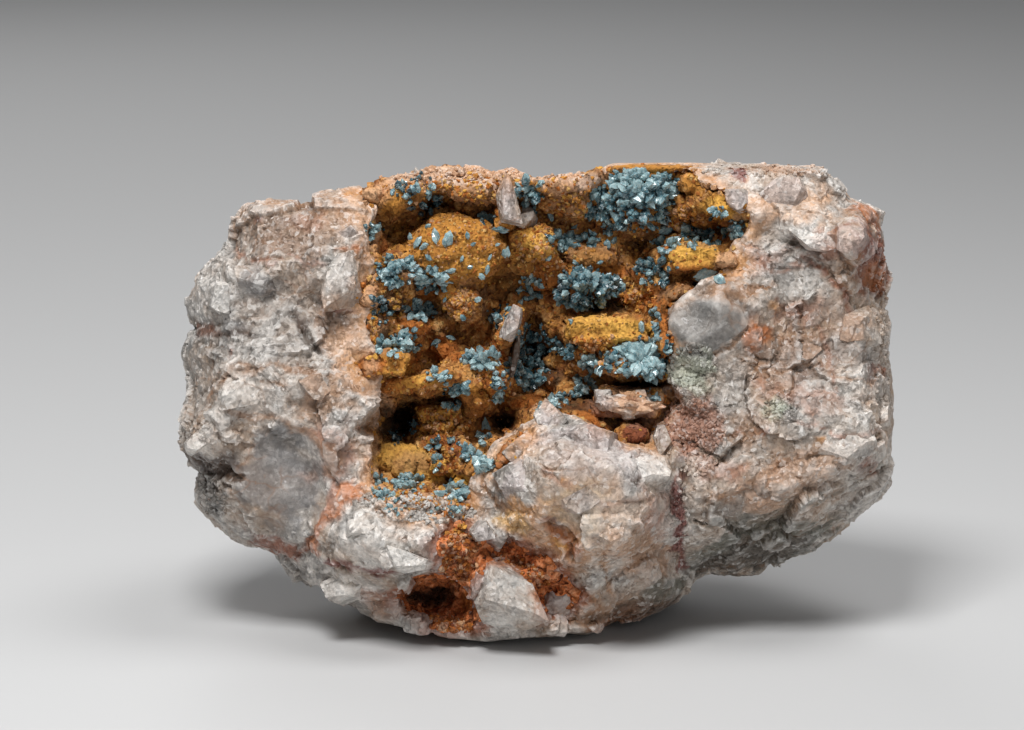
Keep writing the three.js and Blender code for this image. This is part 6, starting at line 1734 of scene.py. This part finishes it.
@dataclass
class QuartzBlock:
    """The broken block of milky quartz.

    Attributes:
        face: the face's frame.
        grain: the size of its mesh faces, in millimetres.
        soften: how many times the solid's edges are averaged.
        most: how many triangles it may have.
        finish: its finish.
        SLEEK: where the quartz is smooth.
        CALM: where it is a little less broken than elsewhere.
    """

    face: FaceFrame
    grain: float = 0.4
    soften: int = 3
    most: int = MOST_FACES
    finish: QuartzFinish = QuartzFinish()

    SLEEK = (
        Patch("smooth lens", (-31.6, 20.7), (8.0, 8.0), 38),
        Patch("grey lens", (21.2, 40.3), (8.2, 4.9), -8),
        Patch("blade", (-3.4, 55.2), (1.6, 3.2), 0),
    )

    CALM = (
        Patch("boulder", (6.6, 20.0), (9.5, 8.0), 0),
        Patch("lower left block", (-20.2, 14.1), (6.6, 3.8), -12),
        Patch("upper right", (32.0, 54.0), (8.0, 5.0), -10),
    )

    def sleek(self, places: np.ndarray) -> np.ndarray:
        """How smooth the quartz is, from 0 to 1."""
        ragged = 0.2 * rough_noise(places, 2.0, 77)
        shares = [patch.share(places, ragged, 0.6) for patch in self.SLEEK]
        shares += [0.25 * patch.share(places, ragged, 0.6) for patch in self.CALM]
        return np.max(shares, axis=0) * ease(places[:, 2], -16.0, -12.0)

    def broken(self, places: np.ndarray, sleek: np.ndarray) -> np.ndarray:
        """How far the broken surface stands out at each place, in millimetres."""
        wavy = bent(places, 2.6, 0.5, 50)
        large = 0.62 * chips(wavy, 7.0, 3, 1.3)
        middle = 0.22 * chips(wavy, 3.0, 5, 1.3)
        small = 0.12 * chips(places, 1.1, 7, 1.4)
        return large * (1.0 - 0.75 * sleek) + (middle + small) * (1.0 - 0.85 * sleek)

    def build(self, lining: bpy.types.Object) -> bpy.types.Object:
        """Builds the block's mesh.

        Args:
            lining: the pocket's lining, under which the block draws back.

        Returns:
            The block.
        """
        obj = copy_of_node("quartz_matrix", "quartz_block", 0.0, self.grain)
        mesh = obj.data
        points = smoothed(read_points(mesh), read_edges(mesh), self.soften)
        write_points(mesh, points)
        places = self.face.to_face(points)
        front = ease(places[:, 2], BACK, FRONT)
        sleek = self.sleek(places)
        height = self.broken(places, sleek)
        wavy = bent(places, 1.8, 0.5, 90)
        for seam in SEAMS:
            far = line_distance(wavy, seam.line) / seam.width
            fade = ease(rough_noise(places, 3.5, 95), -0.6, 0.4)
            height -= 0.6 * seam.depth * (1.0 - ease(far, 0.0, 2.0)) * front * fade
        normals = read_normals(mesh)
        height = np.where(height > 0.0, height * ease(room(points, normals), 0.0, 1.6), height)
        height *= ease(points[:, 2] / MM, 0.2, 2.5)
        crust = tree_of(lining)
        height *= 0.25 + 0.75 * ease(distance_to(crust, points, 4.0), 0.5, 2.6)
        covered = covered_by(crust, points, normals, 3.0).astype(float)
        covered = smoothed(covered[:, None], read_edges(mesh), 1)[:, 0]
        height = height * (1.0 - covered) - 0.4 * covered
        points = points + normals * height[:, None] * MM
        points = self.face.to_world(shifted(self.face.to_face(points), covered))
        write_points(mesh, keep_in_box(points))
        thin_out(obj, self.most, 1.0 - front * (1.0 - covered))
        log.info("quartz_block has %d faces", len(obj.data.polygons))
        return obj

    def dress(self, obj: bpy.types.Object, lining: bpy.types.Object, seam: bpy.types.Object) -> None:
        """Paints the block and gives it its finish.

        Args:
            obj: the block.
            lining: the pocket's lining, which dusts the quartz around it.
            seam: the rusty seam, which stains the quartz around it.
        """
        mesh = obj.data
        points = read_points(mesh)
        places = self.face.to_face(points)
        sleek = self.sleek(places)
        set_float(mesh, "sleek", sleek)
        corners = np.empty(len(mesh.loops), dtype=np.int64)
        mesh.loops.foreach_get("vertex_index", corners)
        mesh.polygons.foreach_set("use_smooth", sleek[corners[::3]] > 0.5)
        front = ease(places[:, 2], BACK, FRONT)
        coat = painted(bent(places, 2.2, 0.8, 35), QUARTZ_STAINS, SEAMS, front, 31)
        uneven = 0.5 + 0.5 * rough_noise(places, 3.0, 41)
        far = distance_to(tree_of(lining), points, 5.0) + 2.6 * (uneven - 0.5)
        clean = 1.0 - 0.95 * sleek
        coat = over(coat, PEACH, 0.75 * clean * (1.0 - ease(far, 0.6, 3.6)))
        coat = over(coat, OCHRE, 0.8 * clean * (1.0 - ease(far, 0.1, 1.9)))
        near = 1.0 - ease(distance_to(tree_of(seam), points, 3.0) + 1.2 * (uneven - 0.5), 0.2, 1.8)
        coat = over(coat, RUST, 0.8 * near)
        behind = (1.0 - front) * ease(rough_noise(places, 13.0, 61), 0.15, 0.9)
        coat = over(coat, TAN, 0.6 * behind)
        set_colour(mesh, "stain", *coat)
        # Depth below the surroundings, from which the finish paints shade into hollows and light onto ridges.
        set_float(mesh, "crevice", crevices(mesh, 8))
        obj.data.materials.append(self.finish.material())
        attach(obj, BODY)
        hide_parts("quartz_matrix")

    def rim(self, obj: bpy.types.Object, lining: bpy.types.Object, count: int) -> np.ndarray:
        """Points of the block that lie bare along the pocket's lining.

        Args:
            obj: the block.
            lining: the pocket's lining.
            count: how many points to pick.

        Returns:
            The points, in metres.
        """
        points = read_points(obj.data)
        crust = tree_of(lining)
        near = np.flatnonzero(distance_to(crust, points, 1.0) < 0.75)
        bare = near[~covered_by(crust, points[near], read_normals(obj.data)[near], 3.0)]
        bare = bare[self.face.to_face(points[bare])[:, 2] > -10.0]
        return points[np.random.default_rng(9).choice(bare, min(count, len(bare)), replace=False)]

    def chipped(self, ground: BVHTree) -> bpy.types.Object:
        """Builds the clean-cut chips and chunks on the block."""
        obj = with_pieces("quartz_chips", None, QUARTZ_PIECES, ground, self.face, np.random.default_rng(8))
        mesh = obj.data
        points = read_points(mesh)
        height = 0.06 * chips(self.face.to_face(points), 1.1, 17, 1.3)
        write_points(mesh, keep_in_box(points + read_normals(mesh) * height[:, None] * MM))
        log.info("quartz_chips has %d faces", len(mesh.polygons))
        return obj

    def dress_loose(self, obj: bpy.types.Object, pieces: tuple[Piece, ...] = ()) -> None:
        """Paints loose grains or chips like the block below them.

        Args:
            obj: the grains or chips.
            pieces: the chips with colours of their own.
        """
        places = self.face.to_face(read_points(obj.data))
        own = tuple(piece.stain(1.3, 0.6) for piece in pieces)
        coat = painted(bent(places, 2.2, 0.8, 35), QUARTZ_STAINS + own, (), np.ones(len(places)), 31)
        set_colour(obj.data, "stain", *coat)
        obj.data.materials.append(bpy.data.materials["milky_quartz"])
        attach(obj, BODY)


@dataclass
class Limonite:
    """A limonite crust over the quartz.

    Attributes:
        face: the face's frame.
        node: the CAD node that it stands for.
        name: its own name.
        slot: a material slot's name; not used.
        finish: its finish.
        stains: its patches of colour.
        pieces: the rocks on it.
        lumps: how many lumps stick to it.
        grow: how far it reaches over the solid, in millimetres.
        grain: the size of its mesh faces, in millimetres.
        most: how many triangles it may have.
        lump_size: how large the lumps are, against those of the pocket.
        seed: picks its lumps.
        GRAIN_TINTS: the colours of its loose grains.
        LOW_TINTS: the same for grains near the foot.
        LOW: the height below which those are used, in millimetres.
    """

    face: FaceFrame
    node: str
    name: str
    slot: str
    finish: LimoniteFinish
    stains: tuple[Stain, ...] = ()
    pieces: tuple[Piece, ...] = ()
    lumps: int = 0
    grow: float = 0.45
    grain: float = 0.25
    most: int = MOST_FACES
    lump_size: float = 1.0
    seed: int = 1

    GRAIN_TINTS = (YELLOW, OCHRE, ORANGE, PEACH, CREAM, TAN, ORANGE, OCHRE)
    LOW_TINTS = (RUST, ORANGE, PEACH, ORANGE, RUST, PINK, RED, BEIGE)
    LOW = 14.0

    def dress_grains(self, obj: bpy.types.Object) -> None:
        """Gives each loose grain one of the crust's colours."""
        mesh = obj.data
        tones = np.empty(len(mesh.vertices))
        mesh.attributes["tone"].data.foreach_get("value", tones)
        pick = tones.astype(int)
        upper = np.array([tint.value for tint in self.GRAIN_TINTS])[pick]
        lower = np.array([tint.value for tint in self.LOW_TINTS])[pick]
        low = self.face.to_face(read_points(mesh))[:, 1] < self.LOW
        set_colour(mesh, "stain", np.where(low[:, None], lower, upper), np.full(len(tones), 0.85))
        mesh.materials.append(bpy.data.materials[self.finish.name])
        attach(obj, BODY)

    def rocks(self, base: bpy.types.Object) -> bpy.types.Object:
        """The base with rocks and lumps on it.

        Args:
            base: the plain crust, which is used up.

        Returns:
            The crust, in one closed skin.
        """
        rng = np.random.default_rng(self.seed)
        tree = tree_of(base)
        places = self.face.to_face(read_points(base.data))
        low = places.min(axis=0)
        high = places.max(axis=0)
        out = self.face.axes[2]
        shapes = [lump(rng) for _ in range(6)]
        picks = []
        tries = 0
        while len(picks) < self.lumps and tries < 4 * self.lumps:
            tries += 1
            place = rng.uniform(low, high)
            place[2] = high[2] + 5.0
            spot, normal, _, _ = tree.ray_cast(Vector(self.face.to_world(place[None])[0]), Vector(-out))
            size = self.lump_size * (0.28 + 0.8 * rng.random() ** 2.6)
            scale = size * MM * rng.uniform(0.6, 1.3, 3)
            turn = turned_to(rng.normal(size=3), 0.0)
            if spot is not None:
                lift = Matrix.Translation(spot + normal * 0.2 * size * MM)
                matrix = lift @ turn @ Matrix.Diagonal((*scale, 1.0))
                picks.append((int(rng.integers(6)), matrix, 0.0))
        bm = bmesh.new()
        bm.from_mesh(base.data)
        added = scattered("lumps", shapes, picks)
        bm.from_mesh(added.data)
        bpy.data.objects.remove(added)
        heap = finished(bm, self.name)
        wide = tree_of(base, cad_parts["quartz_matrix"])
        whole = with_pieces(self.name, heap, self.pieces, wide, self.face, rng)
        bpy.data.objects.remove(base)
        remesh(whole, self.grain)
        return whole

    def build(self) -> bpy.types.Object:
        """Builds the crust's mesh."""
        obj = copy_of_node(self.node, self.name + "_base", self.grow, 0.35)
        places = shifted(self.face.to_face(read_points(obj.data)))
        write_points(obj.data, self.face.to_world(places))
        obj = self.rocks(obj)
        mesh = obj.data
        points = smoothed(read_points(mesh), read_edges(mesh), 2)
        write_points(mesh, points)
        places = self.face.to_face(points)
        wavy = bent(places, 1.5, 0.3, self.seed + 60)
        height = 0.24 * chips(wavy, 1.9, self.seed + 70, 1.3) + 0.09 * chips(wavy, 0.9, self.seed + 90, 1.6)
        height += 0.12 * grit(wavy, 0.8, self.seed + 80)
        points = points + read_normals(mesh) * height[:, None] * MM
        write_points(mesh, keep_in_box(points))
        thin_out(obj, self.most, 1.0 - ease(read_normals(mesh) @ self.face.axes[2], -0.3, 0.0))
        shade_smooth(obj.data)
        log.info("%s has %d faces", self.name, len(obj.data.polygons))
        return obj

    def dress(self, obj: bpy.types.Object) -> None:
        """Paints the crust and gives it its finish."""
        mesh = obj.data
        places = self.face.to_face(read_points(mesh))
        own = tuple(piece.stain(1.4, 0.9, 0.7) for piece in self.pieces)
        set_colour(mesh, "stain", *painted(places, own + self.stains, (), np.ones(len(places)), 33))
        # Depth below the surroundings, from which the finish paints shade into hollows.
        set_float(mesh, "crevice", crevices(mesh, 6))
        mesh.materials.append(self.finish.material())
        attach(obj, BODY)
        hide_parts(self.node)


@dataclass
class Crystals:
    """The blue crystals in the pocket.

    Attributes:
        face: the face's frame.
        ground: what they grow on.
        finish: their finish.
        rng: makes them uneven.
        picks: the crystals so far, each with its shape, place and tone.
    """

    face: FaceFrame
    ground: BVHTree
    finish: CrystalFinish = CrystalFinish()
    rng: np.random.Generator = field(default_factory=lambda: np.random.default_rng(11))
    picks: list[Pick] = field(default_factory=list)

    def spot(self, at: Pair) -> tuple[np.ndarray, np.ndarray] | None:
        """Where the ground is seen at a place on the face.

        Args:
            at: u and v.

        Returns:
            The point in metres and the ground's normal, or None beside the rock.
        """
        start = Vector(self.face.to_world(np.array([[*at, OVERHEAD]]))[0])
        found, normal, _, _ = self.ground.ray_cast(start, -Vector(self.face.axes[2]))
        return None if found is None else (np.array(found), np.array(normal))

    def put(self, point: np.ndarray, axis: np.ndarray, length: float, width: float, tone: float) -> None:
        """Adds one crystal.

        Args:
            point: its middle, in metres.
            axis: its direction.
            length: its length, in millimetres.
            width: its width, in millimetres.
            tone: its tone.
        """
        across = np.cross(axis, self.rng.normal(size=3))
        across /= np.linalg.norm(across)
        for part in range(3 if length > 1.1 else 1):
            size = 1.0 if part == 0 else self.rng.uniform(0.5, 0.75)
            aside = 0.0 if part == 0 else (1.5 - part) * 0.62 * width
            along = 0.0 if part == 0 else self.rng.uniform(-0.3, 0.15) * length
            lean = axis + across * 0.25 * (1.5 - part) * (part > 0) + self.rng.normal(size=3) * 0.06
            spot = point + (axis * along + across * aside) * MM
            half = 0.5 * size * MM
            scale = Matrix.Diagonal((half * width, half * width, half * length, 1.0))
            turn = turned_to(lean, self.rng.uniform(0.0, math.tau))
            shift = self.rng.normal() * 0.08
            place = Matrix.Translation(Vector(spot)) @ turn @ scale
            self.picks.append((int(self.rng.integers(3)), place, tone + shift))

    def fill(self, cluster: Cluster) -> None:
        """Adds a cluster of crystals, with the tallest in its middle."""
        right, up, out = self.face.axes
        mound = 0.45 * cluster.fan * min(cluster.half)
        for number in range(round(2.4 * cluster.count)):
            small = number % 2 > 0
            reach = math.sqrt(self.rng.random()) * (1.1 if small else 0.95)
            angle = self.rng.uniform(0.0, math.tau)
            du = reach * math.cos(angle)
            dv = reach * math.sin(angle)
            found = self.spot((cluster.at[0] + du * cluster.half[0], cluster.at[1] + dv * cluster.half[1]))
            if found is None:
                continue
            point, normal = found
            loose = self.rng.normal(size=3) * 0.4
            axis = 0.6 * normal + 0.6 * out + cluster.fan * (du * right + dv * up) + loose
            axis /= np.linalg.norm(axis)
            length = cluster.length * self.rng.uniform(0.7, 1.25) * (1.1 - 0.25 * reach)
            length *= 0.64 if small else 1.0
            width = length * self.rng.uniform(0.44, 0.66)
            lift = mound * max(0.0, 1.0 - reach * reach) * (0.5 if small else 1.0)
            rise = self.rng.uniform(0.08, 0.36) * length
            tone = cluster.tone + self.rng.normal() * 0.28 - (0.2 if small else 0.0)
            self.put(point + (out * lift + axis * rise) * MM, axis, length, width, tone)

    def lay(self, single: Single) -> None:
        """Adds one crystal that lies on the ground."""
        found = self.spot(single.at)
        if found is None:
            return
        point, normal = found
        right, up, out = self.face.axes
        turn = math.radians(single.turn)
        along = math.cos(turn) * right + math.sin(turn) * up
        axis = along + out * self.rng.uniform(-0.1, 0.35)
        spot = point + out * 0.3 * single.width * MM
        self.put(spot, axis / np.linalg.norm(axis), single.length, single.width, single.tone)

    def build(self) -> bpy.types.Object:
        """Builds all crystals as one piece."""
        for cluster in CLUSTERS:
            self.fill(cluster)
        for single in SINGLES:
            self.lay(single)
        shapes = [pointed(6, 0.42, 0.95, 0.72), pointed(4, 0.34, 0.92, 0.8), pointed(5, 0.5, 0.93, 0.85)]
        obj = scattered("blue_crystals", shapes, self.picks)
        points = read_points(obj.data)
        write_points(obj.data, keep_in_box(points))
        log.info("%d crystals, %d faces", len(self.picks), len(obj.data.polygons))
        obj.data.materials.append(self.finish.material())
        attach(obj, BODY)
        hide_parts("pharmacosiderite_crystals")
        return obj


@dataclass
class Grains:
    """Small grains that stick to the surface.

    Attributes:
        face: the face's frame.
        ground: what they lie on.
        name: the piece's name.
        seed: picks them.
    """

    face: FaceFrame
    ground: BVHTree
    name: str
    seed: int

    def build(
        self, sprinkles: tuple[Sprinkle, ...], tones: int, rim: np.ndarray | None = None
    ) -> bpy.types.Object:
        """Builds all grains as one piece.

        Args:
            sprinkles: where they lie.
            tones: how many different tones they take.
            rim: more points that they stick to.

        Returns:
            The piece.
        """
        rng = np.random.default_rng(self.seed)
        out = self.face.axes[2]
        shapes = [lump(rng) for _ in range(5)]
        spots = [(Vector(point), rng.uniform(0.2, 0.5)) for point in ([] if rim is None else rim)]
        for sprinkle in sprinkles:
            turn = math.radians(sprinkle.turn)
            for _ in range(sprinkle.count):
                reach = rng.random() ** 0.6
                angle = rng.uniform(0.0, math.tau)
                a = sprinkle.half[0] * reach * math.cos(angle)
                b = sprinkle.half[1] * reach * math.sin(angle)
                u = sprinkle.at[0] + a * math.cos(turn) - b * math.sin(turn)
                v = sprinkle.at[1] + a * math.sin(turn) + b * math.cos(turn)
                start = self.face.to_world(np.array([[u, v, OVERHEAD]]))[0]
                spot = self.ground.ray_cast(Vector(start), Vector(-out))[0]
                if spot is not None:
                    spots.append((spot, sprinkle.size * rng.uniform(0.5, 1.4)))
        picks = []
        for spot, size in spots:
            scale = size * MM * rng.uniform(0.7, 1.3, 3)
            turn = turned_to(rng.normal(size=3), 0.0)
            matrix = Matrix.Translation(spot) @ turn @ Matrix.Diagonal((*scale, 1.0))
            picks.append((int(rng.integers(5)), matrix, float(rng.integers(tones))))
        obj = scattered(self.name, shapes, picks)
        write_points(obj.data, keep_in_box(read_points(obj.data)))
        log.info("%s: %d grains", self.name, len(picks))
        return obj


@dataclass(frozen=True)
class Softbox:
    """A square lamp.

    Attributes:
        name: its name.
        place: where it is, in metres.
        size: its width, in metres.
        power: its power, in watts.
    """

    name: str
    place: tuple[float, float, float]
    size: float
    power: float


@dataclass
class Studio:
    """The camera, the lamps and the floor.

    Attributes:
        face: the face's frame.
        aim: what the camera looks at, as a face place.
        distance: how far off the camera is, in millimetres.
        lens: its focal length, in millimetres.
        sensor: its sensor's width, in millimetres.
        clip: the nearest and farthest that it sees, in metres.
        target: what the lamps point at, in metres.
        sky: the colour of the surroundings.
        sky_strength: how bright they are.
        floor_reach: half the floor's width, in metres.
        floor_drop: how far the floor lies below the object, in metres.
        floor: the floor's finish.
        lamps: the lamps.
    """

    face: FaceFrame
    aim: tuple[float, float, float] = (-3.2, 35.05, 6.0)
    distance: float = 541.8
    lens: float = 150.0
    sensor: float = 36.0
    clip: Pair = (0.01, 20.0)
    target: tuple[float, float, float] = (0.0, 0.0, 0.03)
    sky: Colour = (0.75, 0.76, 0.78)
    sky_strength: float = 0.13
    floor_reach: float = 6.0
    floor_drop: float = 0.0002
    floor: FloorFinish = FloorFinish()
    lamps: tuple[Softbox, ...] = (
        Softbox("key", (-0.08, -0.24, 0.44), 0.15, 2.4),
        Softbox("top", (0.14, 0.0, 0.42), 0.2, 0.8),
        Softbox("fill", (0.2, -0.6, 0.16), 0.5, 0.75),
        Softbox("back", (-0.2, 0.5, 0.4), 0.4, 1.0),
    )

    def add_camera(self) -> None:
        """Adds the camera, which looks straight at the face."""
        data = bpy.data.cameras.new("camera")
        data.lens = self.lens
        data.sensor_width = self.sensor
        data.clip_start, data.clip_end = self.clip
        camera = add_object("camera", data)
        place = self.face.to_world(np.array([self.aim]))[0] + self.face.axes[2] * self.distance * MM
        turn = Matrix(self.face.axes.T.tolist()).to_4x4()
        camera.matrix_world = Matrix.Translation(Vector(place)) @ turn
        bpy.context.scene.camera = camera

    def add_lamps(self) -> None:
        """Adds the lamps and the pale surroundings."""
        for lamp in self.lamps:
            data = bpy.data.lights.new(lamp.name, "AREA")
            data.shape = "SQUARE"
            data.size = lamp.size
            data.energy = lamp.power
            obj = add_object(lamp.name, data)
            aim = Vector(self.target) - Vector(lamp.place)
            turn = aim.to_track_quat("-Z", "Y").to_matrix().to_4x4()
            obj.matrix_world = Matrix.Translation(lamp.place) @ turn
        world = bpy.data.worlds.new("surroundings")
        world.use_nodes = True
        sky = world.node_tree.nodes["Background"]
        sky.inputs["Color"].default_value = (*self.sky, 1.0)
        sky.inputs["Strength"].default_value = self.sky_strength
        bpy.context.scene.world = world

    def add_floor(self) -> None:
        """Adds the floor."""
        bm = bmesh.new()
        bmesh.ops.create_grid(bm, x_segments=2, y_segments=2, size=self.floor_reach)
        mesh = finished(bm, "floor")
        mesh.materials.append(self.floor.material())
        floor = add_object("floor", mesh)
        floor.location.z = -self.floor_drop

    def build(self) -> None:
        """Adds everything around the object."""
        self.add_camera()
        self.add_lamps()
        self.add_floor()
        view = bpy.context.scene.view_settings
        view.view_transform = "Standard"
        view.look = "None"
        view.exposure = 0.0


def main() -> None:
    """Builds the specimen and the studio around it."""
    logging.basicConfig(level=logging.INFO, format="%(name)s: %(message)s")
    face = FaceFrame.of_rock(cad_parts["quartz_matrix"], LEAN_DEG, ROCK_TOP, FOOT_CUT)
    lining = Limonite(
        face,
        "limonite_lining",
        "ochre_lining",
        "ochre_limonite",
        LimoniteFinish("ochre_crust"),
        LINING_STAINS,
        PIECES,
        lumps=1300,
        seed=2,
    )
    crust = lining.build()
    lining.dress(crust)
    rust = LimoniteFinish(
        "rust_crust",
        main=(0.66, 0.19, 0.055),
        bright=(0.88, 0.44, 0.24),
        dark=(0.07, 0.018, 0.008),
    )
    vein = Limonite(
        face,
        "limonite_seam",
        "rust_seam",
        "rust_limonite",
        rust,
        SEAM_STAINS,
        lumps=500,
        grow=0.1,
        most=60000,
        lump_size=0.55,
        seed=3,
    )
    seam = vein.build()
    vein.dress(seam)
    block = QuartzBlock(face)
    quartz = block.build(crust)
    block.dress(quartz, crust, seam)
    ground = tree_of(quartz, crust, seam)
    block.dress_loose(block.chipped(ground), QUARTZ_PIECES)
    block.dress_loose(Grains(face, ground, "quartz_grains", 5).build(SUGAR, 1))
    rim = block.rim(quartz, crust, RIM_GRAINS)
    crumbs = Grains(face, tree_of(crust, seam), "ochre_grains", 6).build(CRUMBS, len(lining.GRAIN_TINTS), rim)
    lining.dress_grains(crumbs)
    Crystals(face, ground).build()
    Studio(face).build()


if __name__ == "__main__":
    main()
